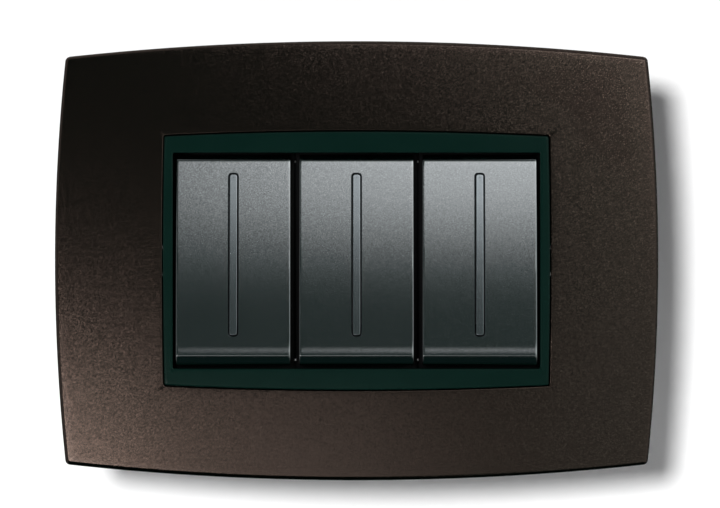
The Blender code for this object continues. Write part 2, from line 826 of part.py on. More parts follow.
def groove():
    """The rebate on the left edge that takes the tongue of the carrier beside it."""
    x = (-MODULE_HALF_WIDTH - 1, -MODULE_HALF_WIDTH + TONGUE_WIDTH)
    z = TONGUE_HALF_HEIGHT + GAP
    return block(x, (TONGUE_Y[0] - GAP, TONGUE_Y[1] + 1), (-z, z))


def lug(side):
    """The lip that rests on the mounting frame's rail."""
    x = (-LUG_HALF_WIDTH, LUG_HALF_WIDTH)
    z = mirrored(side, (CARRIER_HALF_HEIGHT - OVERLAP, LUG_REACH))
    return block(x, (CARRIER_Y[0], RAIL_FRONT - GAP), z)


def prong(side):
    """The snap finger that passes through the frame and catches behind it."""
    near, far = PRONG_Z
    root = CARRIER_Y[1] - OVERLAP
    profile = [
        (root, near),
        (root, far),
        (GAP, far),
        (GAP, BARB_REACH),
        (PRONG_END, far - PRONG_TAPER),
        (PRONG_END, near),
    ]
    return prism([(y, side * z) for y, z in profile], (-PRONG_HALF_WIDTH, PRONG_HALF_WIDTH))


def module_carrier(place_name, parent):
    x, z = MODULE_HALF_WIDTH, CARRIER_HALF_HEIGHT
    window_x, window_z = CARRIER_WINDOW
    through = (CARRIER_Y[0] - 1, CARRIER_Y[1] + 1)
    build(
        f"module_carrier_{place_name}",
        "black_polycarbonate",
        block((-x, x), CARRIER_Y, (-z, z)),
        ("DIFFERENCE", block((-window_x, window_x), through, (-window_z, window_z))),
        ("UNION", tongue()),
        ("DIFFERENCE", groove()),
        ("UNION", both(cheek)),
        ("DIFFERENCE", both(pivot_bore)),
        ("UNION", both(lug)),
        ("UNION", both(prong)),
        parent=parent,
    )


def housing_cavity():
    x = HOUSING_HALF_WIDTH - HOUSING_WALL
    z = HOUSING_HALF_HEIGHT - HOUSING_WALL
    return block((-x, x), (HOUSING_Y[0] - 1, HOUSING_Y[1] - HOUSING_WALL), (-z, z))


def cell_walls(side):
    """Two ribs that hold one terminal between them."""
    y = (CELL_WALL_START, HOUSING_Y[1] - HOUSING_WALL / 2)
    z = mirrored(side, (CELL_Z[0] - 1, HOUSING_HALF_HEIGHT - HOUSING_WALL / 2))
    return merged(*(block(mirrored(hand, CELL_WALL_X), y, z) for hand in (-1, 1)))


def rear_openings(side):
    """The wire entries in the back wall and the screwdriver hole in the top or bottom wall."""
    reach = (HOUSING_Y[1] - HOUSING_WALL - 1, HOUSING_Y[1] + 1)
    entry = [(end, WIRE_ENTRY_RADIUS) for end in reach]
    entries = [turned(entry, centre=(x, 0, side * WIRE_Z), segments=12) for x in (-WIRE_X, WIRE_X)]
    height = mirrored(side, (HOUSING_HALF_HEIGHT - HOUSING_WALL - 1, HOUSING_HALF_HEIGHT + 1))
    driver = turned([(end, DRIVER_HOLE_RADIUS) for end in height], "Z", (0, CLAMP_Y, 0), 16)
    return merged(*entries, driver)


def switch_housing(place_name, parent):
    x, z = HOUSING_HALF_WIDTH, HOUSING_HALF_HEIGHT
    build(
        f"switch_housing_{place_name}",
        "grey_thermoset",
        block((-x, x), HOUSING_Y, (-z, z)),
        ("DIFFERENCE", housing_cavity()),
        ("UNION", both(cell_walls)),
        ("DIFFERENCE", both(rear_openings)),
        parent=parent,
    )


def pivot(name, parent, y, tilt):
    """An empty on a joint's axis, and the offset that brings a child back to the module's frame."""
    empty = place(bpy.data.objects.new(name, None), parent, (0, y, 0), tilt)
    return {"parent": empty, "at": (0, -y, 0)}


def switch_module(place_name, x):
    module = place(bpy.data.objects.new(f"module_{place_name}", None), None, (x, 0, 0))
    module_carrier(place_name, module)
    switch_housing(place_name, module)

    rocker = pivot(f"rocker_pivot_{place_name}", module, PIVOT_Y, -ROCKER_TILT)
    rocker_key(place_name, **rocker)
    light_strip(place_name, **rocker)
    rocker_cradle(place_name, **rocker)
    plunger(place_name, **rocker)
    plunger_spring(place_name, **rocker)

    lever = pivot(f"lever_pivot_{place_name}", module, LEVER_PIVOT_Y, LEVER_TILT)
    contact_lever(place_name, **lever)
    contact_disc(f"moving_contact_{place_name}", MOVING_CONTACT_Y, **lever)

    contact_disc(f"fixed_contact_{place_name}", FIXED_CONTACT_Y, module)
    terminal(f"load_terminal_{place_name}", 1, LOAD_STRIP_END, module)
    terminal(f"common_terminal_{place_name}", -1, COMMON_STRIP_END, module, ("UNION", fulcrum()))
    clamp_screw(f"load_clamp_screw_{place_name}", 1, module)
    clamp_screw(f"common_clamp_screw_{place_name}", -1, module)


def main():
    clear_scene()
    cover_plate()
    trim_bezel()
    mounting_frame()
    for place_name, side in (("left", -1), ("right", 1)):
        fixing_screw(f"fixing_screw_{place_name}", side * SCREW_SPACING / 2)
    for place_name, x in MODULES.items():
        switch_module(place_name, x)


main()
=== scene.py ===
import json
import math

import bmesh
import bpy
from mathutils import Matrix, Vector


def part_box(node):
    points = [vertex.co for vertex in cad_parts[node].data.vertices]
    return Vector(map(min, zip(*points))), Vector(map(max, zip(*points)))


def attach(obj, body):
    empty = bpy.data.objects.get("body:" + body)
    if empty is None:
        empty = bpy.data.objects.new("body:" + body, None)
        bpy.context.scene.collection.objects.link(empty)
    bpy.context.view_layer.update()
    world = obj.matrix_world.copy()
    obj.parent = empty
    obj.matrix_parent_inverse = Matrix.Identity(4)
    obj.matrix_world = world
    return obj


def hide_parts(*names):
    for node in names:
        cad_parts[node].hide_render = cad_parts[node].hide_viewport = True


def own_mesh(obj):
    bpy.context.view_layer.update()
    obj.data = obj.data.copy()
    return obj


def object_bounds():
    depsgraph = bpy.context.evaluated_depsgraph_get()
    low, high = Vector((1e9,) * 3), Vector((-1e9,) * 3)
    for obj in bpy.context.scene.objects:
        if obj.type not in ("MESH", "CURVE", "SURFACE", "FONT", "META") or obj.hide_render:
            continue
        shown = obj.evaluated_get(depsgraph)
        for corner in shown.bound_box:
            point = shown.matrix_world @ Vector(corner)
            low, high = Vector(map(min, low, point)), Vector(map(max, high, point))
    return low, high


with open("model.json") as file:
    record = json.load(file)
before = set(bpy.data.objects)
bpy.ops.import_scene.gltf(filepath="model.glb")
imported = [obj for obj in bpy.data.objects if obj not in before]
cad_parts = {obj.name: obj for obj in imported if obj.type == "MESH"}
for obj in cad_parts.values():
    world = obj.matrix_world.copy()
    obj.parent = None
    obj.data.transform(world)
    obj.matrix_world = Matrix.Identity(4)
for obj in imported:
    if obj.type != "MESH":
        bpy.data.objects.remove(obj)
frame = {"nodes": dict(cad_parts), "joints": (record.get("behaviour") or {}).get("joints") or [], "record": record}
cad_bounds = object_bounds()

# Shapes are made in millimetres, in the frame of the CAD model: +Z up, the front faces -Y.
MM = 0.001
MODULE_SIDES = ("left", "centre", "right")
MODULE_PITCH = 25.0
GAP = 0.3

# Cover plate
PLATE_SIZE = tuple(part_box("cover_plate")[1][axis] / MM for axis in (0, 2))
PLATE_BOW = (2.15, 3.15)
PLATE_CORNER = 1.0
PLATE_WALL = 2.0
PLATE_EDGE = 0.8
PLATE_BACK_EDGE = 0.25
HOLE_EDGE = 0.25
CROWN = 10.2
DOME_DROP = (2.2, 1.1)
TAB_AT = (48.0, 30.0)
TAB_SIZE = (8.0, 1.6)
TAB_END = -1.0

# Trim bezel
BEZEL_SIZE = (39.3, 26.2)
BEZEL_BOW = (0.3, 0.95)
BEZEL_CORNER = 0.5
BEZEL_PROUD = 0.35
BEZEL_SEAM = 0.15
BEZEL_EDGE = 0.3
BEZEL_BACK = -8.0
MOUTH_SIZE = (37.25, 21.9)
MOUTH_CORNER = 0.4
COLLAR_WALL = 1.2
COLLAR_BACK = -5.6
EAR_X = 25.0
EAR_WIDTH = 8.0
EAR_REACH = 28.0
EAR_Y = (-7.0, -6.0)

# Keys
KEY_SIZE = (11.6, 21.4)
KEY_CENTRE_Z = -0.05
KEY_FACE = -9.9
KEY_BOW = 0.6
KEY_SKIRT_BACK = -7.2
KEY_WALL = 1.2
KEY_FACE_WALL = 1.1
KEY_TOP_RADIUS = 1.6
KEY_SIDE_RADIUS = 0.2
KEY_BOTTOM_ANGLE = 25
KEY_BOTTOM_DEPTH = 1.3
LIP_START = -17.4
LIP_CREST = -19.7
LIP_HEIGHT = 0.092
SLOT_CENTRE_Z = 0.9
SLOT_SIZE = (1.0, 16.6)
SLOT_CORNER = 0.75
SLOT_CHAMFER = 0.12
STRIP_SEAM = 0.26
STRIP_EDGE = 0.07
STRIP_PROUD = 0.03
HOOK_WIDTH = 8.0
HOOK_Z = (13.4, 14.6)
HOOK_Y = (-7.4, -6.6)
HOOK_GRIP = 1.2

# Mounting frame
FRAME_SIZE = (55.0, 37.0)
FRAME_CORNER = 4.0
FRAME_THICKNESS = 2.4
FRAME_EDGE = 0.5
FRAME_BACK_EDGE = 0.2
SEAT_SIZE = (37.3, 22.6)
SEAT_CORNER = 0.8
SEAT_EDGE = 0.25
RAIL_Z = (22.6, 24.4)
RAIL_FRONT = -3.6
SCREW_X = 41.75
SLOT_RADIUS = 2.2
SLOT_REACH = 4.8
WINDOW_SIZE = (4.6, 1.7)
POCKET_DEPTH = 1.2
POCKET_COUNT = 5
POCKET_RIB = 1.4
SIDE_POCKET_Z = ((6.5, 15.5), (17.0, 26.0))
DIVIDER_HALF_WIDTH = 1.2

# Screws
SCREW_RADIUS = 1.75
SCREW_HEAD_RADIUS = 3.2
SCREW_HEAD_HEIGHT = 2.0
SCREW_TIP = 21.0
SCREW_PITCH = 0.7
CROSS_SIZE = (2.0, 0.42)
CROSS_DEPTH = 1.2
CLAMP_Y = 22.0
CLAMP_RADIUS = 1.5
CLAMP_HEAD_RADIUS = 2.5
CLAMP_HEAD_Z = (17.6, 19.5)
CLAMP_TIP_Z = 14.4
CLAMP_PITCH = 0.5

# Plunger, spring and contacts
PLUNGER_RADIUS = 1.95
PLUNGER_Y = (-1.0, 4.0)
SPRING_RADIUS = 1.5
SPRING_WIRE = 0.25
SPRING_Y = (-5.85, -1.55)
SPRING_TURNS = 5
CONTACT_Z = 7.0
CONTACT_RADIUS = 1.7
MOVING_CONTACT_Y = (5.5, 6.1)
FIXED_CONTACT_Y = (6.95, 7.7)

# Housing
HOUSING_SIZE = (12.0, 20.4)
HOUSING_Y = (-3.3, 30.0)
HOUSING_WALL = 1.4
HOUSING_CORNER = 1.0
CELL_WALL_X = (6.0, 7.2)
CELL_WALL_START = 15.0
CELL_WALL_Z = 9.2
WIRE_AT = (2.6, 12.4)
WIRE_ENTRY_RADIUS = 1.9
DRIVER_HOLE_RADIUS = 2.9

# Shapes

ROUND = 40
SHARP_ANGLE = 35


def faced_outward(shape):
    """A closed shape with every face turned outwards."""
    bmesh.ops.recalc_face_normals(shape, faces=shape.faces)
    if shape.calc_volume(signed=True) < 0:
        bmesh.ops.reverse_faces(shape, faces=shape.faces)
    return shape


def loft(loops, ring=False):
    """Skin over loops of equally many points. Its ends are capped, or meet if it is a ring."""
    shape = bmesh.new()
    rows = [[shape.verts.new(point) for point in loop] for loop in loops]
    pairs = list(zip(rows, rows[1:] + rows[:1]))
    for near, far in pairs if ring else pairs[:-1]:
        for i in range(len(near)):
            j = (i + 1) % len(near)
            shape.faces.new((near[i], near[j], far[j], far[i]))
    if not ring:
        shape.faces.new(rows[0])
        shape.faces.new(rows[-1])
    return faced_outward(shape)


def block(x, y, z, corner=0.0):
    """A box between (low, high) pairs. A corner radius rounds its edges along Y."""
    half = Vector(((x[1] - x[0]) / 2, (z[1] - z[0]) / 2))
    middle = Vector(((x[0] + x[1]) / 2, (z[0] + z[1]) / 2))
    if corner:
        outline = bowed_outline(half, (0, 0), corner, side_points=2, corner_points=4)
    else:
        outline = [half * Vector(signs) for signs in ((1, -1), (1, 1), (-1, 1), (-1, -1))]
    return loft([flat([middle + point for point in outline], depth) for depth in y])


def prism(profile, x):
    """A (y, z) profile extruded along X."""
    return loft([[(side, py, pz) for py, pz in profile] for side in x])


def circle(radius, segments):
    step = math.tau / segments
    return [(radius * math.cos(i * step), radius * math.sin(i * step)) for i in range(segments)]


def along_axis(shape, axis="Y", centre=(0, 0, 0)):
    """Turns a shape made along Z to lie along Y or Z."""
    degrees = {"Y": -90, "Z": 0}[axis]
    shape.transform(Matrix.Translation(centre) @ Matrix.Rotation(math.radians(degrees), 4, "X"))
    return shape


def rings(profile):
    """Circles for a turned shape. profile is (distance along the axis, radius) pairs."""
    return [[(u, v, along) for u, v in circle(radius, ROUND)] for along, radius in profile]


def turned(profile, axis="Y", centre=(0, 0, 0)):
    """A turned shape of ROUND segments along an axis through centre."""
    return along_axis(loft(rings(profile)), axis, centre)


def thread(start, end, radius, depth, pitch):
    """Rings of a shank whose helical thread runs out at both ends."""
    steps_per_turn = 8
    count = round(abs(end - start) / pitch * steps_per_turn)
    loops = []
    for i in range(count + 1):
        along = start + (end - start) * i / count
        fade = min(i, count - i, steps_per_turn) / steps_per_turn
        loop = []
        for j in range(ROUND):
            phase = (along / pitch - j / ROUND) % 1
            r = radius - depth * (1 - fade * abs(2 * phase - 1))
            angle = math.tau * j / ROUND
            loop.append((r * math.cos(angle), r * math.sin(angle), along))
        loops.append(loop)
    return loops


def merged(*shapes):
    """Several shapes as one, without joining them."""
    whole = bmesh.new()
    for shape in shapes:
        mesh = to_mesh("part", shape)
        whole.from_mesh(mesh)
        bpy.data.meshes.remove(mesh)
    return whole


def mirrored(side, pair):
    """A (low, high) pair on the plus side, or the same pair on the minus side."""
    ends = (side * pair[0], side * pair[1])
    return (min(ends), max(ends))


def bow(share, half_chord, rise):
    """Height over its chord of a circular arc, at a share (-1 to 1) of the half chord."""
    if rise == 0:
        return 0.0
    radius = (half_chord**2 + rise**2) / (2 * rise)
    return math.sqrt(radius**2 - (half_chord * share) ** 2) - (radius - rise)


def bowed_outline(size, bows, corner, side_points=40, corner_points=7):
    """A rectangle (x, z) given by half sizes, with bowed sides and rounded corners, anticlockwise."""
    chord_x, chord_z = size[0] - bows[0], size[1] - bows[1]
    outline = []
    for quarter in range(4):
        upright = quarter % 2 == 0
        along, out = (chord_z, chord_x) if upright else (chord_x, chord_z)
        rise, next_rise = (bows[0], bows[1]) if upright else (bows[1], bows[0])
        straight = 1 - corner / along
        side = []
        for i in range(side_points):
            share = straight * (2 * i / (side_points - 1) - 1)
            side.append(Vector((out + bow(share, along, rise), along * share)))
        start, tip = side[-1], Vector((out, along))
        end = Vector((out - corner, along + bow(1 - corner / out, out, next_rise)))
        for i in range(1, corner_points + 1):
            t = i / (corner_points + 1)
            side.append(start * (1 - t) ** 2 + tip * (2 * t * (1 - t)) + end * t**2)
        turn = Matrix.Rotation(math.pi / 2 * quarter, 2)
        outline += [turn @ point for point in side]
    return outline


def stadium(half_length, radius, centre_x):
    """An (x, z) outline with two straight sides along Z and half-round ends."""
    arc_points = 12
    outline = []
    for end, start in ((1, 0.0), (-1, math.pi)):
        for i in range(arc_points):
            angle = start + math.pi * i / (arc_points - 1)
            x = centre_x + radius * math.cos(angle)
            outline.append((x, end * (half_length - radius) + radius * math.sin(angle)))
    return outline


def inset_outline(size, bows, corner, inset):
    smallest_corner = 0.15
    smaller = (size[0] - inset, size[1] - inset)
    return bowed_outline(smaller, bows, max(corner - inset, smallest_corner))


def flat(outline, y):
    """An (x, z) outline as points at one depth."""
    return [(x, y, z) for x, z in outline]


def between(outer, inner, share):
    """The outline a share of the way from one outline to another."""
    return [a.lerp(b, share) for a, b in zip(outer, inner)]


def evaluated(mesh, *modifiers):
    """The mesh after modifiers, each given as (type, settings)."""
    carrier = bpy.data.objects.new("carrier", mesh)
    bpy.context.collection.objects.link(carrier)
    for kind, settings in modifiers:
        modifier = carrier.modifiers.new(kind, kind)
        for key, value in settings.items():
            setattr(modifier, key, value)
    graph = bpy.context.evaluated_depsgraph_get()
    result = bpy.data.meshes.new_from_object(carrier.evaluated_get(graph), depsgraph=graph)
    bpy.data.objects.remove(carrier)
    return result


def to_mesh(name, shape):
    mesh = bpy.data.meshes.new(name)
    shape.to_mesh(mesh)
    shape.free()
    return mesh


def from_mesh(mesh):
    shape = bmesh.new()
    shape.from_mesh(mesh)
    bpy.data.meshes.remove(mesh)
    return shape


def combine(shape, operation, tool):
    """Boolean of two closed shapes."""
    helper = bpy.data.objects.new("tool", to_mesh("tool", tool))
    bpy.context.collection.objects.link(helper)
    settings = {"operation": operation, "object": helper, "solver": "EXACT"}
    mesh = evaluated(to_mesh("base", shape), ("BOOLEAN", settings))
    bpy.data.objects.remove(helper)
    return from_mesh(mesh)


def piece(node, body, look, shape, at=None):
    """The visible piece for a CAD node, made from a shape in millimetres and riding on a CAD body."""
    if at is not None:
        shape.transform(at)
    shape.transform(Matrix.Scale(MM, 4))
    mesh = to_mesh(f"{node}_fine", shape)
    mesh.shade_smooth()
    mesh.set_sharp_from_angle(angle=math.radians(SHARP_ANGLE))
    mesh.materials.append(look)
    made = bpy.data.objects.new(f"{node}_fine", mesh)
    made.modifiers.new("weighted_normals", "WEIGHTED_NORMAL").keep_sharp = True
    bpy.context.collection.objects.link(made)
    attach(made, body)
    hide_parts(node)
    return made


# Materials


def add(tree, kind, inputs=None, **settings):
    """A node whose inputs are values or other nodes' outputs."""
    made = tree.nodes.new(kind)
    for key, value in settings.items():
        setattr(made, key, value)
    for key, value in (inputs or {}).items():
        if isinstance(value, bpy.types.NodeSocket):
            tree.links.new(value, made.inputs[key])
        else:
            made.inputs[key].default_value = value
    return made


def vector_math(tree, operation, inputs):
    return add(tree, "ShaderNodeVectorMath", inputs, operation=operation).outputs["Vector"]


def scalar_math(tree, operation, inputs):
    return add(tree, "ShaderNodeMath", inputs, operation=operation).outputs[0]


def new_look(name, **sockets):
    """A material, its node tree, its shader and the object coordinates in metres."""
    look = bpy.data.materials.new(name)
    look.use_nodes = True
    tree = look.node_tree
    shader = tree.nodes["Principled BSDF"]
    for key, value in sockets.items():
        shader.inputs[key.replace("_", " ")].default_value = value
    coords = add(tree, "ShaderNodeTexCoord").outputs["Object"]
    return look, tree, shader, coords


def ramp(tree, value, *stops):
    """A colour ramp. Each stop is (position, colour)."""
    made = add(tree, "ShaderNodeValToRGB", {"Fac": value})
    elements = made.color_ramp.elements
    while len(elements) < len(stops):
        elements.new(0.5)
    for element, (position, colour) in zip(elements, stops):
        element.position = position
        element.color = (*colour, 1.0)
    return made.outputs["Color"]


def span(tree, value, low, high, from_low=0.0, from_high=1.0):
    """A value remapped to a range."""
    inputs = {"Value": value, "From Min": from_low, "From Max": from_high, "To Min": low, "To Max": high}
    return add(tree, "ShaderNodeMapRange", inputs).outputs["Result"]


def noise_value(tree, coords, size_mm, detail=2.0, roughness=0.5):
    """Noise from 0 to 1 whose features are about size_mm across."""
    inputs = {"Vector": coords, "Scale": 1 / (size_mm * MM), "Detail": detail, "Roughness": roughness}
    return add(tree, "ShaderNodeTexNoise", inputs).outputs["Fac"]


def flakes(tree, coords, size_mm, tilt):
    """Metal flakes in a lacquer: a random value for each, and a normal that tilts from one to the next."""
    voronoi = add(tree, "ShaderNodeTexVoronoi", {"Vector": coords, "Scale": 1 / (size_mm * MM)})
    random = voronoi.outputs["Color"]
    split = add(tree, "ShaderNodeSeparateColor", {"Color": random})
    centred = vector_math(tree, "SUBTRACT", {0: random, 1: (0.5, 0.5, 0.5)})
    scaled = vector_math(tree, "SCALE", {0: centred, "Scale": tilt})
    normal = add(tree, "ShaderNodeNewGeometry").outputs["Normal"]
    tilted = vector_math(tree, "ADD", {0: normal, 1: scaled})
    return split.outputs["Red"], vector_math(tree, "NORMALIZE", {0: tilted})


def bump(tree, height, distance_mm, strength, normal=None):
    """A normal that follows a height, on top of another normal if one is given."""
    inputs = {"Height": height, "Distance": distance_mm * MM, "Strength": strength}
    if normal is not None:
        inputs["Normal"] = normal
    return add(tree, "ShaderNodeBump", inputs).outputs["Normal"]


def connect(tree, shader, **sockets):
    """Links node outputs to the shader's sockets, named with underscores for spaces."""
    for key, value in sockets.items():
        tree.links.new(value, shader.inputs[key.replace("_", " ")])


def bronze_lacquer():
    """Dark bronze lacquer: fine metal flakes that glint one by one, under a satin clear coat."""
    coat = {"Coat_Weight": 0.15, "Coat_Roughness": 0.12}
    look, tree, shader, coords = new_look("bronze_lacquer", Metallic=1.0, **coat)
    flake, normal = flakes(tree, coords, 0.13, 0.07)
    dark, common, bright = (0.058, 0.041, 0.034), (0.08, 0.056, 0.047), (0.16, 0.12, 0.1)
    colour = ramp(tree, flake, (0.0, dark), (0.85, common), (1.0, bright))
    rough = span(tree, noise_value(tree, coords, 0.5), 0.13, 0.18)
    peel = noise_value(tree, coords, 1.6)
    connect(tree, shader, Base_Color=colour, Roughness=rough, Normal=bump(tree, peel, 0.004, 0.2, normal))
    return look


def green_black_gloss():
    """Polished dark green plastic."""
    look, tree, shader, coords = new_look("green_black_gloss", Specular_IOR_Level=0.1)
    cloud = noise_value(tree, coords, 9.0)
    colour = ramp(tree, cloud, (0.3, (0.0018, 0.0098, 0.0075)), (0.7, (0.0024, 0.0112, 0.0086)))
    rough = span(tree, noise_value(tree, coords, 0.7, 4.0), 0.12, 0.2)
    fine = noise_value(tree, coords, 0.25, 3.0)
    connect(tree, shader, Base_Color=colour, Roughness=rough, Normal=bump(tree, fine, 0.003, 0.2))
    return look


def anthracite_lacquer():
    """Neutral grey metallic lacquer with finer flakes than the plate's."""
    coat = {"Coat_Weight": 0.08, "Coat_Roughness": 0.2}
    look, tree, shader, coords = new_look("anthracite_lacquer", Metallic=1.0, **coat)
    flake, normal = flakes(tree, coords, 0.1, 0.02)
    dark, common, bright = (0.29, 0.302, 0.312), (0.325, 0.34, 0.35), (0.39, 0.405, 0.415)
    colour = ramp(tree, flake, (0.0, dark), (0.85, common), (1.0, bright))
    rough = span(tree, noise_value(tree, coords, 0.6), 0.11, 0.15)
    peel = noise_value(tree, coords, 1.4)
    connect(tree, shader, Base_Color=colour, Roughness=rough, Normal=bump(tree, peel, 0.003, 0.2, normal))
    return look


def smoked_lens():
    """A smoked lens with a satin metallic coating and a faint blue tint."""
    coat = {"Coat_Weight": 0.1, "Coat_Roughness": 0.2}
    look, tree, shader, coords = new_look("smoked_lens", Metallic=0.99, **coat)
    cloud = noise_value(tree, coords, 2.5)
    colour = ramp(tree, cloud, (0.3, (0.33, 0.36, 0.385)), (0.7, (0.36, 0.39, 0.415)))
    rough = span(tree, noise_value(tree, coords, 0.3, 3.0), 0.13, 0.18)
    connect(tree, shader, Base_Color=colour, Roughness=rough, Normal=bump(tree, cloud, 0.006, 0.2))
    return look


def moulded(name, colour, roughness, grain_mm=0.35, depth_mm=0.02, specular=0.45):
    """Injection-moulded plastic: spark-eroded grain, and flow marks that shift its tone slightly."""
    look, tree, shader, coords = new_look(name, Specular_IOR_Level=specular)
    flow = noise_value(tree, coords, 12.0, 3.0)
    dark = tuple(0.88 * c for c in colour)
    light = tuple(min(1.12 * c, 1.0) for c in colour)
    grain = noise_value(tree, coords, grain_mm, 3.0, 0.6)
    rough = span(tree, grain, roughness - 0.07, roughness + 0.07)
    connect(
        tree,
        shader,
        Base_Color=ramp(tree, flow, (0.3, dark), (0.7, light)),
        Roughness=rough,
        Normal=bump(tree, grain, depth_mm, 0.5),
    )
    return look


def speckled(name, colour, fleck):
    """Thermoset moulding compound: fine flecks of filler in a matte body."""
    fleck_mm = 0.5
    look, tree, shader, coords = new_look(name, Specular_IOR_Level=0.4)
    cells = add(tree, "ShaderNodeTexVoronoi", {"Vector": coords, "Scale": 1 / (fleck_mm * MM)})
    tone = add(tree, "ShaderNodeSeparateColor", {"Color": cells.outputs["Color"]}).outputs["Red"]
    grain = noise_value(tree, coords, 0.3, 4.0, 0.6)
    light = tuple(1.06 * c for c in colour)
    connect(
        tree,
        shader,
        Base_Color=ramp(tree, tone, (0.0, fleck), (0.18, colour), (1.0, light)),
        Roughness=span(tree, grain, 0.5, 0.68),
        Normal=bump(tree, grain, 0.02, 0.4),
    )
    return look


def worked_metal(name, dull, bright, roughness, grain_mm=0.12):
    """Rolled and stamped metal: streaks along Z, and stains that dull it in patches."""
    look, tree, shader, coords = new_look(name, Metallic=1.0)
    stretch = add(tree, "ShaderNodeMapping", {"Vector": coords, "Scale": (1.0, 1.0, 0.06)})
    streak = noise_value(tree, stretch.outputs["Vector"], grain_mm, 3.0)
    stain = noise_value(tree, coords, 3.0, 4.0)
    connect(
        tree,
        shader,
        Base_Color=ramp(tree, stain, (0.3, dull), (0.65, bright)),
        Roughness=span(tree, streak, roughness - 0.08, roughness + 0.12),
        Normal=bump(tree, streak, 0.006, 0.3),
    )
    return look


# Cover plate and bezel


def dome(x, z):
    """Y of the plate's front at (x, z)."""
    return -CROWN + DOME_DROP[0] * (x / PLATE_SIZE[0]) ** 2 + DOME_DROP[1] * (z / PLATE_SIZE[1]) ** 2


def on_dome(outline, raised=0.0):
    return [(x, dome(x, z) - raised, z) for x, z in outline]


def rounded_rim(outline_at, radius, steps, raised=0.0):
    """Loops round a quarter circle, from the side of a rim up to its top, with outlines by their inset."""
    loops = []
    for i in range(steps + 1):
        angle = math.pi / 2 * i / steps
        inset = radius * (1 - math.cos(angle))
        drop = radius * (1 - math.sin(angle))
        loops.append(on_dome(outline_at(inset), raised - drop))
    return loops


def plate_outline(inset):
    return inset_outline(PLATE_SIZE, PLATE_BOW, PLATE_CORNER, inset)


def hole_outline(inset):
    """The plate's opening, which leaves a seam round the bezel. A positive inset makes it smaller."""
    size = (BEZEL_SIZE[0] + BEZEL_SEAM - inset, BEZEL_SIZE[1] + BEZEL_SEAM - inset)
    return bowed_outline(size, BEZEL_BOW, BEZEL_CORNER)


def snap_tab(x, z):
    """A tab inside the plate, with a barb that catches in the mounting frame's window."""
    away = math.copysign(1, z)
    half = TAB_SIZE[1] / 2
    root = dome(x, z) + PLATE_WALL / 2
    inner = [(root, -half - 0.5), (root + 1.6, -half), (TAB_END - 0.8, -half), (TAB_END, -0.4)]
    outer = [(TAB_END, 0.4), (TAB_END - 0.6, half + 0.3), (TAB_END - 1.0, half + 0.3)]
    outer += [(TAB_END - 1.3, half), (root + 1.6, half), (root, half + 0.5)]
    profile = [(y, z + away * out) for y, out in inner + outer]
    return prism(profile, (x - TAB_SIZE[0] / 2, x + TAB_SIZE[0] / 2))


def cover_plate():
    front_steps, back_steps, rim_steps, hole_steps = 14, 6, 6, 4
    crest = plate_outline(PLATE_EDGE)
    hole = hole_outline(-HOLE_EDGE)
    inner_rim, inner_hole = plate_outline(PLATE_WALL), hole_outline(0)
    loops = [flat(plate_outline(PLATE_BACK_EDGE), 0), flat(plate_outline(0), -PLATE_BACK_EDGE)]
    loops += rounded_rim(plate_outline, PLATE_EDGE, rim_steps)
    loops += [on_dome(between(crest, hole, i / front_steps)) for i in range(1, front_steps)]
    loops += reversed(rounded_rim(lambda inset: hole_outline(-inset), HOLE_EDGE, hole_steps))
    for i in range(back_steps + 1):
        loops.append(on_dome(between(inner_hole, inner_rim, i / back_steps), -PLATE_WALL))
    loops.append(flat(inner_rim, 0))
    tabs = [snap_tab(x, z) for x in (-TAB_AT[0], TAB_AT[0]) for z in (-TAB_AT[1], TAB_AT[1])]
    return combine(loft(loops, ring=True), "UNION", merged(*tabs))


def bezel_outline(inset):
    return inset_outline(BEZEL_SIZE, BEZEL_BOW, BEZEL_CORNER, inset)


def mouth_outline(outset):
    size = (MOUTH_SIZE[0] + outset, MOUTH_SIZE[1] + outset)
    return bowed_outline(size, (0, 0), MOUTH_CORNER + max(outset, 0))


def bezel_ear(x, side):
    """A snap ear on the collar, with a sloping tip that catches behind the plate."""
    front, back = EAR_Y
    root, tip = MOUTH_SIZE[1] + COLLAR_WALL / 2, EAR_REACH
    profile = [(front, root), (front, tip - 0.3), (front + 0.25, tip)]
    profile += [(back - 0.3, tip - 0.4), (back, tip - 1.2), (back, root)]
    return prism([(y, side * z) for y, z in profile], (x - EAR_WIDTH / 2, x + EAR_WIDTH / 2))


def trim_bezel():
    rim_steps, front_steps = 5, 4
    crest, mouth_crest = bezel_outline(BEZEL_EDGE), mouth_outline(BEZEL_EDGE)
    loops = [flat(bezel_outline(0), BEZEL_BACK)]
    loops += rounded_rim(bezel_outline, BEZEL_EDGE, rim_steps, BEZEL_PROUD)
    for i in range(1, front_steps):
        loops.append(on_dome(between(crest, mouth_crest, i / front_steps), BEZEL_PROUD))
    loops += reversed(rounded_rim(mouth_outline, BEZEL_EDGE, rim_steps, BEZEL_PROUD))
    collar = mouth_outline(COLLAR_WALL)
    loops += [flat(mouth_outline(0), COLLAR_BACK), flat(collar, COLLAR_BACK), flat(collar, BEZEL_BACK)]
    ears = [bezel_ear(x, side) for x in (-EAR_X, EAR_X) for side in (-1, 1)]
    return combine(loft(loops, ring=True), "UNION", merged(*ears))


# Keys


def key_front(z):
    """Y of a key's face at a height: slightly convex, with a finger lip near the bottom."""
    share = min(max((LIP_START - z) / (LIP_START - LIP_CREST), 0), 1)
    lip = LIP_HEIGHT * (1 - math.cos(math.pi * share)) / 2
    return KEY_FACE - bow((z - KEY_CENTRE_Z) / KEY_SIZE[1], KEY_SIZE[1], KEY_BOW) - lip


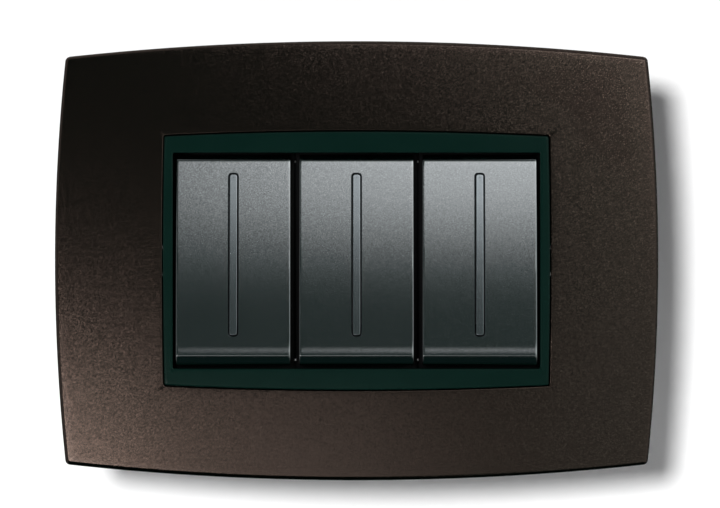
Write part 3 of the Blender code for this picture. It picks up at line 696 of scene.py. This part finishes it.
def key_profile():
    """The key's side view (y, z), from the top of its skirt over the face to the bottom."""
    top, bottom = KEY_CENTRE_Z + KEY_SIZE[1], KEY_CENTRE_Z - KEY_SIZE[1]
    shoulder = top - KEY_TOP_RADIUS
    round_steps, face_steps, lip_steps, bottom_steps = 6, 28, 14, 10
    points = [(KEY_SKIRT_BACK, top), (KEY_SKIRT_BACK - 0.6, top)]
    for i in range(round_steps):
        angle = math.pi / 2 * i / round_steps
        y = key_front(shoulder) + KEY_TOP_RADIUS * (1 - math.sin(angle))
        points.append((y, shoulder + KEY_TOP_RADIUS * math.cos(angle)))
    for i in range(face_steps + 1):
        z = shoulder + (LIP_START - shoulder) * i / face_steps
        points.append((key_front(z), z))
    for i in range(1, lip_steps + 1):
        z = LIP_START + (LIP_CREST - LIP_START) * i / lip_steps
        points.append((key_front(z), z))
    drop, start = LIP_CREST - bottom, math.radians(KEY_BOTTOM_ANGLE)
    for i in range(1, bottom_steps + 1):
        angle = start + (math.pi / 2 - start) * i / bottom_steps
        y = key_front(LIP_CREST) + KEY_BOTTOM_DEPTH * drop * (1 - math.cos(angle) / math.cos(start))
        share = (math.sin(angle) - math.sin(start)) / (1 - math.sin(start))
        points.append((y, LIP_CREST - drop * share))
    points.append((KEY_SKIRT_BACK, bottom))
    return [Vector(point) for point in points]


def shrunk(profile, distance):
    """A profile moved inwards along its normals. Its two ends, on the skirt's back, only move along Z."""
    moved = []
    for i, point in enumerate(profile):
        before, after = profile[max(i - 1, 0)], profile[min(i + 1, len(profile) - 1)]
        along = (after - before).normalized()
        inward = Vector((-along.y, along.x))
        if i in (0, len(profile) - 1):
            inward = Vector((0, -math.copysign(1, point.y)))
        moved.append(point + inward * distance)
    return moved


def slot_outline(outset):
    size = (SLOT_SIZE[0] + outset, SLOT_SIZE[1] + outset)
    outline = bowed_outline(size, (0, 0), max(SLOT_CORNER + outset, 0.05), side_points=24)
    return [(x, z + SLOT_CENTRE_Z) for x, z in outline]


def on_key(outline, depth):
    """An (x, z) outline that follows the key's face at a depth behind it. A negative depth is in front."""
    return [(x, key_front(z) + depth, z) for x, z in outline]


def slot_cutter():
    """The slot with its chamfered rim, deep enough to pass through the key's hooks."""
    flare = 0.4
    rim = on_key(slot_outline(SLOT_CHAMFER + flare), -flare)
    return loft([rim, on_key(slot_outline(0), SLOT_CHAMFER), flat(slot_outline(0), HOOK_Y[1] + 0.1)])


def key_body():
    """The key's outer form, with its long side edges rounded."""
    profile = key_profile()
    steps, flat_stations = 4, (11.1, 8.0, 4.0)
    stations = []
    for i in range(steps + 1):
        angle = math.pi / 2 * i / steps
        x = KEY_SIZE[0] - KEY_SIDE_RADIUS * (1 - math.sin(math.pi / 2 - angle))
        stations.append((x, KEY_SIDE_RADIUS * (1 - math.sin(angle))))
    stations += [(x, 0.0) for x in flat_stations]
    right = [[(x, p.x, p.y) for p in shrunk(profile, inset)] for x, inset in stations]
    left = [[(-x, y, z) for x, y, z in loop] for loop in reversed(right)]
    return loft(right + left)


def key_cavity():
    x, z = KEY_SIZE[0] - KEY_WALL, KEY_SIZE[1] - KEY_WALL
    front, back = KEY_FACE + KEY_FACE_WALL, KEY_SKIRT_BACK + 1
    corners = ((-x, -z), (x, -z), (x, z), (-x, z))
    return loft([[(px, y, pz + KEY_CENTRE_Z) for px, pz in corners] for y in (front, back)])


def key_hook(side):
    """A hook under the key that grips one end of the cradle's plate."""
    root, (inner, outer), (under, heel) = KEY_FACE + KEY_FACE_WALL / 2, HOOK_Z, HOOK_Y
    tip = inner - HOOK_GRIP
    profile = [(root, inner), (under, inner), (under, tip), (under + 0.2, tip - 0.1), (under + 0.4, tip)]
    profile += [(heel, inner + 0.2), (heel, outer - 0.2), (heel - 0.2, outer), (root, outer)]
    return prism([(y, side * z) for y, z in profile], (-HOOK_WIDTH / 2, HOOK_WIDTH / 2))


def rocker_key():
    shape = combine(key_body(), "DIFFERENCE", key_cavity())
    shape = combine(shape, "UNION", merged(key_hook(1), key_hook(-1)))
    return combine(shape, "DIFFERENCE", slot_cutter())


def light_strip():
    """The lens in the key's slot, with rounded edges and a front that follows the key's face."""
    steps, middle_half_width = 3, 0.005
    loops = [flat(slot_outline(-STRIP_SEAM), KEY_FACE + KEY_FACE_WALL)]
    for i in range(steps + 1):
        angle = math.pi / 2 * i / steps
        inset = STRIP_SEAM + STRIP_EDGE * (1 - math.cos(angle))
        loops.append(on_key(slot_outline(-inset), STRIP_EDGE * (1 - math.sin(angle)) - STRIP_PROUD))
    loops.append(on_key(slot_outline(-STRIP_SEAM - STRIP_EDGE - 0.05), -STRIP_PROUD))
    loops.append(on_key(slot_outline(-SLOT_SIZE[0] + middle_half_width), -STRIP_PROUD))
    return loft(loops)


# Mounting frame and screws


def frame_outline(inset):
    return inset_outline(FRAME_SIZE, (0, 0), FRAME_CORNER, inset)


def seat_outline(outset):
    return bowed_outline((SEAT_SIZE[0] + outset, SEAT_SIZE[1] + outset), (0, 0), SEAT_CORNER)


def screw_slot(x):
    """A slot through the frame with chamfered rims."""
    chamfer, front = 0.3, -FRAME_THICKNESS
    levels = ((front - 1, 1 + chamfer), (front + chamfer, 0), (-chamfer, 0), (1, 1 + chamfer))
    return loft([flat(stadium(SLOT_REACH + out, SLOT_RADIUS + out, x), y) for y, out in levels])


def frame_pockets():
    """Hollows in the frame's back that keep its walls even."""
    depth, margin, corner = (-POCKET_DEPTH, 1.0), 1.8, 1.0
    z_band = (RAIL_Z[1] + 1.2, FRAME_SIZE[1] - margin)
    x_band = (SCREW_X + SLOT_RADIUS + margin, FRAME_SIZE[0] - margin)
    width = 2 * SEAT_SIZE[0] / POCKET_COUNT
    pockets = []
    for side in (-1, 1):
        for i in range(POCKET_COUNT):
            low = -SEAT_SIZE[0] + i * width + POCKET_RIB / 2
            pockets.append(block((low, low + width - POCKET_RIB), depth, mirrored(side, z_band), corner))
        for z in SIDE_POCKET_Z:
            for end in (-1, 1):
                pockets.append(block(mirrored(side, x_band), depth, mirrored(end, z), corner))
    return pockets


def frame_dividers():
    """Short noses between the housings that cover the ends of the joints between the modules."""
    y = (0.3 - FRAME_THICKNESS, -0.3)
    z = (HOUSING_SIZE[1] + 0.05, SEAT_SIZE[1] + 0.5)
    dividers = []
    for joint in (-MODULE_PITCH / 2, MODULE_PITCH / 2):
        x = (joint - DIVIDER_HALF_WIDTH, joint + DIVIDER_HALF_WIDTH)
        dividers += [block(x, y, mirrored(side, z)) for side in (-1, 1)]
    return dividers


def frame_windows():
    """The windows that the cover's tabs catch in."""
    wide, high = WINDOW_SIZE
    windows = []
    for x in (-TAB_AT[0], TAB_AT[0]):
        for z in (-TAB_AT[1], TAB_AT[1]):
            windows.append(block((x - wide, x + wide), (-FRAME_THICKNESS - 1, 1), (z - high, z + high), 0.4))
    return windows


def mounting_frame():
    front, steps = -FRAME_THICKNESS, 4
    loops = [flat(frame_outline(FRAME_BACK_EDGE), 0), flat(frame_outline(0), -FRAME_BACK_EDGE)]
    for i in range(steps + 1):
        angle = math.pi / 2 * i / steps
        inset = FRAME_EDGE * (1 - math.cos(angle))
        loops.append(flat(frame_outline(inset), front + FRAME_EDGE * (1 - math.sin(angle))))
    loops += [flat(seat_outline(SEAT_EDGE), front), flat(seat_outline(0), front + SEAT_EDGE)]
    loops += [flat(seat_outline(0), -SEAT_EDGE), flat(seat_outline(SEAT_EDGE), 0)]
    x, y = (-SEAT_SIZE[0], SEAT_SIZE[0]), (RAIL_FRONT, front / 2)
    rails = [block(x, y, mirrored(side, RAIL_Z)) for side in (-1, 1)]
    shape = combine(loft(loops, ring=True), "UNION", merged(*rails))
    for divider in frame_dividers():
        shape = combine(shape, "UNION", divider)
    slots = [screw_slot(x) for x in (-SCREW_X, SCREW_X)]
    return combine(shape, "DIFFERENCE", merged(*slots, *frame_pockets(), *frame_windows()))


def fixing_screw():
    """A pan-head screw with a cross recess and a metric thread, along Y."""
    seat = -FRAME_THICKNESS - GAP
    crown = seat - SCREW_HEAD_HEIGHT
    head = [(0.0, 0.4), (0.12, 0.62), (0.3, 0.78), (0.6, 0.91)]
    head += [(1.0, 0.98), (1.4, 1.0), (1.85, 1.0), (2.0, 0.95)]
    loops = rings([(crown + depth, share * SCREW_HEAD_RADIUS) for depth, share in head])
    loops += rings([(seat, SCREW_RADIUS), (seat + 0.4, SCREW_RADIUS)])
    loops += thread(seat + 0.6, SCREW_TIP - 1.2, SCREW_RADIUS, 0.3, SCREW_PITCH)
    loops += rings([(SCREW_TIP - 1.0, 1.4), (SCREW_TIP - 0.3, 0.9), (SCREW_TIP, 0.5)])
    shape = along_axis(loft(loops))
    long, short = [(-half, half) for half in CROSS_SIZE]
    depth = (crown - 1, crown + CROSS_DEPTH)
    shape = combine(shape, "DIFFERENCE", block(long, depth, short, 0.15))
    return combine(shape, "DIFFERENCE", block(short, depth, long, 0.15))


def clamp_screw(side):
    """A slotted terminal screw along Z, in the upper (1) or lower (-1) terminal."""
    low, high = CLAMP_HEAD_Z
    loops = rings([(CLAMP_TIP_Z, 1.1), (CLAMP_TIP_Z + 0.25, 1.25)])
    loops += thread(CLAMP_TIP_Z + 0.35, low - 0.1, CLAMP_RADIUS, 0.22, CLAMP_PITCH)
    head = [(low, 0.96), (low + 0.1, 1.0), (high - 0.4, 1.0), (high - 0.15, 0.95), (high, 0.8)]
    loops += rings([(z, share * CLAMP_HEAD_RADIUS) for z, share in head])
    shape = along_axis(loft(loops), "Z")
    slot = block((-CLAMP_HEAD_RADIUS - 1, CLAMP_HEAD_RADIUS + 1), (-0.36, 0.36), (high - 0.9, high + 1))
    shape = combine(shape, "DIFFERENCE", slot)
    turn = Matrix.Rotation(0 if side > 0 else math.pi, 4, "Y")
    shape.transform(Matrix.Translation((0, CLAMP_Y, 0)) @ turn)
    return shape


# Plunger, spring and contacts


def plunger():
    """A pin with a round tip and a narrower tail for the spring."""
    back, tip = PLUNGER_Y
    radius, tip_length, steps = PLUNGER_RADIUS, 1.7, 10
    shoulder = tip - tip_length
    profile = [(back, 0.8 * radius), (back + 0.15, 0.9 * radius), (back + 0.35, radius), (shoulder, radius)]
    for i in range(1, steps + 1):
        angle = math.radians(84) * i / steps
        profile.append((shoulder + tip_length * math.sin(angle), radius * (0.12 + 0.88 * math.cos(angle))))
    return turned(profile)


def plunger_spring():
    """A compression spring whose end turns lie close together."""
    steps_per_turn, wire_sides = 28, 12
    count = SPRING_TURNS * steps_per_turn
    start, end = SPRING_Y
    loops = []
    for i in range(count + 1):
        share = i / count
        angle = math.tau * i / steps_per_turn
        radial = Vector((math.cos(angle), 0, math.sin(angle)))
        climb = share - 0.11 * math.sin(math.tau * share) * abs(2 * share - 1)
        centre = radial * SPRING_RADIUS + Vector((0, start + (end - start) * climb, 0))
        loops.append([centre + radial * u + Vector((0, v, 0)) for u, v in circle(SPRING_WIRE, wire_sides)])
    return loft(loops)


def contact_button(y, domed_end):
    """A silver rivet head. Its domed end, 0 or 1, is the one that touches the other contact."""
    face, back = y if domed_end == 0 else (y[1], y[0])
    depth = back - face
    profile = [(0.0, 0.3), (0.06, 0.6), (0.16, 0.82), (0.32, 0.96), (0.5, 1.0), (1.0, 1.0)]
    profile = [(face + share * depth, radius * CONTACT_RADIUS) for share, radius in profile]
    return turned(profile, "Y", (0, 0, CONTACT_Z))


# Housing


def housing_outline(inset):
    size = (HOUSING_SIZE[0] - inset, HOUSING_SIZE[1] - inset)
    return bowed_outline(size, (0, 0), HOUSING_CORNER, side_points=4, corner_points=5)


def housing_openings(side):
    """Funnelled wire entries in the back and a countersunk screwdriver hole in the top or bottom wall."""
    back, radius = HOUSING_Y[1], WIRE_ENTRY_RADIUS
    funnel = [(back - HOUSING_WALL - 1, radius), (back - 0.9, radius), (back + 0.01, radius + 0.6)]
    funnel.append((back + 1, radius + 0.6))
    entries = [turned(funnel, "Y", (x, 0, side * WIRE_AT[1])) for x in (-WIRE_AT[0], WIRE_AT[0])]
    wall = HOUSING_SIZE[1]
    sink = [(wall - HOUSING_WALL - 1, 0.0), (wall - 0.4, 0.0), (wall + 0.01, 0.4), (wall + 1, 0.4)]
    driver = turned([(side * z, DRIVER_HOLE_RADIUS + out) for z, out in sink], "Z", (0, CLAMP_Y, 0))
    return [*entries, driver]


def housing_recesses():
    """Shallow panels that leave raised edges: between the terminals, on the sides, and grip grooves."""
    x, z = HOUSING_SIZE
    groove_count, groove_pitch, groove_width = 4, 2.4, 1.0
    recesses = [block((-x + 2, x - 2), (HOUSING_Y[1] - 0.7, HOUSING_Y[1] + 1), (-8.2, 8.2), 1.0)]
    for side in (-1, 1):
        recesses.append(block(mirrored(side, (x - 0.4, x + 1)), (1.0, 27.0), (-16.0, 16.0)))
        for i in range(groove_count):
            y = 1.5 + groove_pitch * i
            recesses.append(block((-7.0, 7.0), (y, y + groove_width), mirrored(side, (z - 0.5, z + 1))))
    return recesses


def cell_walls():
    """Two ribs inside for each terminal."""
    y = (CELL_WALL_START, HOUSING_Y[1] - HOUSING_WALL / 2)
    z = (CELL_WALL_Z, HOUSING_SIZE[1] - HOUSING_WALL / 2)
    ribs = []
    for hand in (-1, 1):
        ribs += [block(mirrored(hand, CELL_WALL_X), y, mirrored(side, z)) for side in (-1, 1)]
    return merged(*ribs)


def switch_housing():
    front, back = HOUSING_Y
    loops = [flat(housing_outline(0), front), flat(housing_outline(0), back - 0.6)]
    loops += [flat(housing_outline(0.18), back - 0.18), flat(housing_outline(0.6), back)]
    x, z = HOUSING_SIZE[0] - HOUSING_WALL, HOUSING_SIZE[1] - HOUSING_WALL
    cavity = block((-x, x), (front - 1, back - HOUSING_WALL), (-z, z), 0.6)
    shape = combine(loft(loops), "DIFFERENCE", cavity)
    shape = combine(shape, "UNION", cell_walls())
    cuts = housing_openings(1) + housing_openings(-1) + housing_recesses()
    return combine(shape, "DIFFERENCE", merged(*cuts))


# CAD solids that keep their shape and get rounded edges


def refined(node, look, width_mm=0.2):
    """A copy of a CAD solid whose coplanar triangles are merged and whose sharp edges are rounded."""
    shape = bmesh.new()
    shape.from_mesh(frame["nodes"][node].data)
    bmesh.ops.remove_doubles(shape, verts=shape.verts, dist=1e-6)
    bmesh.ops.dissolve_limit(shape, angle_limit=math.radians(0.5), verts=shape.verts, edges=shape.edges)
    mesh = to_mesh(f"{node}_fine", shape)
    mesh.shade_smooth()
    mesh.materials.append(look)
    made = bpy.data.objects.new(f"{node}_fine", mesh)
    bpy.context.collection.objects.link(made)
    bevel = made.modifiers.new("edges", "BEVEL")
    bevel.width = width_mm * MM
    bevel.segments = 2
    bevel.limit_method = "ANGLE"
    bevel.angle_limit = math.radians(40)
    bevel.harden_normals = True
    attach(made, BODY_OF[node])
    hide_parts(node)


def joint_named(name):
    return next(joint for joint in frame["joints"] if joint["name"] == name)


def turned_about(joint_name, degrees):
    """Places a shape made upright in the centre module at a joint's pivot, at its rest angle."""
    pivot = Vector(joint_named(joint_name)["pos_m"]) / MM
    turn = Matrix.Rotation(math.radians(degrees), 4, "X")
    return Matrix.Translation(pivot) @ turn @ Matrix.Translation((0, -pivot.y, 0))


# Stage


def area_light(name, at, size, watts):
    """A rectangular lamp that faces the object and doesn't show in reflections."""
    data = bpy.data.lights.new(name, "AREA")
    data.shape = "RECTANGLE"
    data.size, data.size_y = size
    data.energy = watts
    made = bpy.data.objects.new(name, data)
    made.location = at
    made.rotation_euler = (-Vector(at)).to_track_quat("-Z", "Y").to_euler()
    made.visible_glossy = False
    bpy.context.collection.objects.link(made)


def paper(name, one_sided=False):
    """White paper. One-sided paper is clear from behind, so that the object's back can be seen."""
    look, tree, shader, coords = new_look(name, Roughness=0.9, Specular_IOR_Level=0.1)
    tooth = noise_value(tree, coords, 4.0, 3.0)
    dark, light = (0.9, 0.9, 0.9), (0.91, 0.91, 0.91)
    connect(tree, shader, Base_Color=ramp(tree, tooth, (0.3, dark), (0.7, light)))
    if one_sided:
        clear = add(tree, "ShaderNodeBsdfTransparent").outputs["BSDF"]
        behind = add(tree, "ShaderNodeNewGeometry").outputs["Backfacing"]
        mix = add(tree, "ShaderNodeMixShader", {0: behind, 1: shader.outputs["BSDF"], 2: clear})
        tree.links.new(mix.outputs["Shader"], tree.nodes["Material Output"].inputs["Surface"])
    return look


def stage_plane(name, corners, look):
    mesh = bpy.data.meshes.new(name)
    mesh.from_pydata(corners, [], [(0, 1, 2, 3)])
    mesh.materials.append(look)
    made = bpy.data.objects.new(name, mesh)
    made.visible_glossy = False
    bpy.context.collection.objects.link(made)


def build_stage():
    gap_behind, reach, low = 0.004, 3.0, -0.6
    y = cad_bounds[1][1] + gap_behind
    wall = [(-reach, y, low), (reach, y, low), (reach, y, reach), (-reach, y, reach)]
    stage_plane("backdrop", wall, paper("backdrop_paper", one_sided=True))
    floor = [(-reach, -reach, low), (reach, -reach, low), (reach, reach, low), (-reach, reach, low)]
    stage_plane("floor", floor, paper("floor_paper"))


def build_sun():
    """The light that throws the soft shadow to the lower right. Reflections come from the softboxes."""
    direction = Vector((0.204, 1.0, -0.133))
    data = bpy.data.lights.new("key_sun", "SUN")
    data.energy = 3.5
    data.angle = math.radians(9.5)
    sun = bpy.data.objects.new("key_sun", data)
    sun.rotation_euler = direction.to_track_quat("-Z", "Y").to_euler()
    sun.visible_glossy = False
    bpy.context.collection.objects.link(sun)


WHITE, WARM, GREENISH = (1.0, 1.0, 1.0), (1.0, 0.98, 0.96), (0.92, 1.0, 0.95)
GLOOM_BELOW, GLOOM_ABOVE = (0.008, 0.02, 0.018), (0.026, 0.044, 0.04)
FILL = (0.06, 0.06, 0.063, 1.0)
BACKGROUND = (0.86, 0.87, 0.88, 1.0)

# Each softbox: azimuth from and to, elevation from and to, the width of its feathered edges in azimuth and
# in elevation, strength and colour. Angles are in degrees, seen from the object, whose front is azimuth 0.
SOFTBOXES = (
    ((-2, 40), (11.5, 27), (5, 9), 1.35, WHITE),  # above the keys
    ((7.4, 60), (-40, 40), (6, 20), 0.36, GREENISH),  # right
    ((12, 40), (3.5, 30), (7, 7), 0.75, WARM),  # upper right
    ((-40, 3), (-14, -5.5), (9, 12), 1.05, WARM),  # below
    ((-25, -11.5), (-16, -7.2), (6, 10), 7.5, WARM),  # lower left
    ((-200, 200), (45, 100), (20, 30), 0.35, WHITE),  # overhead
    ((-110, -50), (-45, 50), (30, 30), 0.35, WHITE),  # left side
    ((50, 110), (-45, 50), (30, 30), 0.3, WHITE),  # right side
    ((115, 160), (30, 70), (20, 20), 1.0, WHITE),  # behind, right
    ((-160, -115), (30, 70), (20, 20), 0.8, WHITE),  # behind, left
)


def window(tree, angle, reach, feather):
    """1 where an angle in radians is inside its reach in degrees, and 0 outside, with soft edges."""
    shares = []
    for edge, sign in zip(reach, (1, -1)):
        inputs = {
            "Value": angle,
            "From Min": math.radians(edge - sign * feather / 2),
            "From Max": math.radians(edge + sign * feather / 2),
        }
        soft = add(tree, "ShaderNodeMapRange", inputs, interpolation_type="SMOOTHSTEP")
        shares.append(soft.outputs["Result"])
    return scalar_math(tree, "MULTIPLY", {0: shares[0], 1: shares[1]})


def softbox(tree, azimuth, elevation, azimuths, elevations, feathers, strength, colour):
    """A rectangular light with feathered edges, infinitely far away."""
    across = window(tree, azimuth, azimuths, feathers[0])
    up = window(tree, elevation, elevations, feathers[1])
    glow = scalar_math(tree, "MULTIPLY", {0: across, 1: up})
    tint = tuple(strength * c for c in colour)
    return vector_math(tree, "SCALE", {0: tint, "Scale": glow})


def mixed_colour(tree, factor, colour, other):
    """One colour where the factor is 0 and the other where it is 1."""
    made = add(tree, "ShaderNodeMix", data_type="RGBA")
    values = {"Factor": factor, "A": colour, "B": other}
    for socket in made.inputs:
        value = values[socket.name] if socket.enabled else None
        if isinstance(value, bpy.types.NodeSocket):
            tree.links.new(value, socket)
        elif value is not None:
            socket.default_value = value
    return next(socket for socket in made.outputs if socket.enabled)


def build_world():
    """Softboxes in a dim greenish studio for reflections, an even diffuse fill, and a pale background."""
    world = bpy.data.worlds.new("studio")
    bpy.context.scene.world = world
    world.use_nodes = True
    world.cycles.sampling_method = "NONE"
    tree = world.node_tree
    direction = add(tree, "ShaderNodeTexCoord").outputs["Generated"]
    x, y, z = add(tree, "ShaderNodeSeparateXYZ", {0: direction}).outputs
    forward = scalar_math(tree, "MULTIPLY", {0: y, 1: -1.0})
    azimuth = scalar_math(tree, "ARCTAN2", {0: x, 1: forward})
    elevation = scalar_math(tree, "ARCSINE", {0: z})
    total = ramp(tree, span(tree, z, 0.0, 1.0, -0.5, 0.0), (0.0, GLOOM_BELOW), (1.0, GLOOM_ABOVE))
    for light in SOFTBOXES:
        total = vector_math(tree, "ADD", {0: total, 1: softbox(tree, azimuth, elevation, *light)})
    path = add(tree, "ShaderNodeLightPath").outputs
    lit = mixed_colour(tree, path["Is Diffuse Ray"], total, FILL)
    seen = mixed_colour(tree, path["Is Camera Ray"], lit, BACKGROUND)
    tree.links.new(seen, tree.nodes["Background"].inputs["Color"])


def build_lights():
    build_sun()
    area_light("rear_left", (-0.8, 1.2, 0.8), (0.8, 0.8), 30)
    area_light("rear_right", (0.9, 1.0, 0.2), (0.6, 0.8), 14)
    build_world()


def build_camera():
    """A long lens in front of the plate, slightly off its centre as in the photo."""
    distance, frame_width = 1.0, 0.1460
    x, z = 0.0007, 0.00136
    data = bpy.data.cameras.new("camera")
    data.sensor_width = 36
    data.lens = data.sensor_width * distance / frame_width
    data.clip_end = 20
    camera = bpy.data.objects.new("camera", data)
    camera.location = (x, -CROWN * MM - distance, z)
    camera.rotation_euler = (math.radians(90), 0, 0)
    bpy.context.collection.objects.link(camera)
    bpy.context.scene.camera = camera


# Build

BODY_OF = {n: body for body, nodes in frame["record"]["behaviour"]["bodies"].items() for n in nodes}
PLUNGER_AXIS = joint_named("plunger_centre_slide")["axis"]
ROCKER_REST = math.degrees(math.atan2(-PLUNGER_AXIS[2], -PLUNGER_AXIS[1]))
LEVER_REST = 5.0

build_camera()
build_stage()
build_lights()

bronze = bronze_lacquer()
gloss = green_black_gloss()
anthracite = anthracite_lacquer()
lens = smoked_lens()
polyamide = moulded("black_polyamide", (0.012, 0.012, 0.013), 0.55)
polycarbonate = moulded("black_polycarbonate", (0.002, 0.002, 0.0022), 0.5, specular=0.12)
acetal = moulded("white_acetal", (0.72, 0.71, 0.67), 0.4, 0.5, 0.01)
thermoset = speckled("grey_thermoset", (0.34, 0.35, 0.36), (0.2, 0.2, 0.21))
brass = worked_metal("brass", (0.45, 0.3, 0.12), (0.68, 0.49, 0.22), 0.32)
silver = worked_metal("silver_alloy", (0.6, 0.58, 0.54), (0.8, 0.79, 0.76), 0.25)
steel = worked_metal("zinc_plated_steel", (0.45, 0.46, 0.47), (0.6, 0.61, 0.64), 0.32)

piece("cover_plate", "cover", bronze, cover_plate())
piece("trim_bezel", "cover", gloss, trim_bezel())
piece("mounting_frame", "support", polyamide, mounting_frame())
for sign, side in ((-1, "left"), (1, "right")):
    at = Matrix.Translation((sign * SCREW_X, 0, 0))
    piece(f"fixing_screw_{side}", "support", steel, fixing_screw(), at)

for number, side in enumerate(MODULE_SIDES):
    in_place = Matrix.Translation(((number - 1) * MODULE_PITCH, 0, 0))
    on_rocker = turned_about(f"rocker_{side}_tilt", ROCKER_REST)
    on_lever = turned_about(f"lever_{side}_tilt", LEVER_REST)
    moving_contact = contact_button(MOVING_CONTACT_Y, 1)
    fixed_contact = contact_button(FIXED_CONTACT_Y, 0)
    parts = [
        ("rocker_key", f"rocker_{side}", "anthracite_paint", anthracite, rocker_key(), on_rocker),
        ("light_strip", f"rocker_{side}", "smoked_lens", lens, light_strip(), on_rocker),
        ("plunger", f"plunger_{side}", "white_acetal", acetal, plunger(), on_rocker),
        ("plunger_spring", f"rocker_{side}", "zinc_plated_steel", steel, plunger_spring(), on_rocker),
        ("moving_contact", f"lever_{side}", "silver_alloy", silver, moving_contact, on_lever),
        ("fixed_contact", "support", "silver_alloy", silver, fixed_contact, in_place),
        ("switch_housing", "support", "grey_thermoset", thermoset, switch_housing(), in_place),
        ("load_clamp_screw", "support", "zinc_plated_steel", steel, clamp_screw(1), in_place),
        ("common_clamp_screw", "support", "zinc_plated_steel", steel, clamp_screw(-1), in_place),
    ]
    for name, body, slot, look, shape, at in parts:
        made = piece(f"{name}_{side}", body, look, shape, at)
        if name == "plunger_spring":
            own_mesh(made)
    refined(f"module_carrier_{side}", polycarbonate)
    refined(f"rocker_cradle_{side}", polyamide)
    refined(f"contact_lever_{side}", brass, 0.1)
    for role in ("load", "common"):
        refined(f"{role}_terminal_{side}", brass, 0.1)

bpy.context.scene.view_settings.view_transform = "Standard"
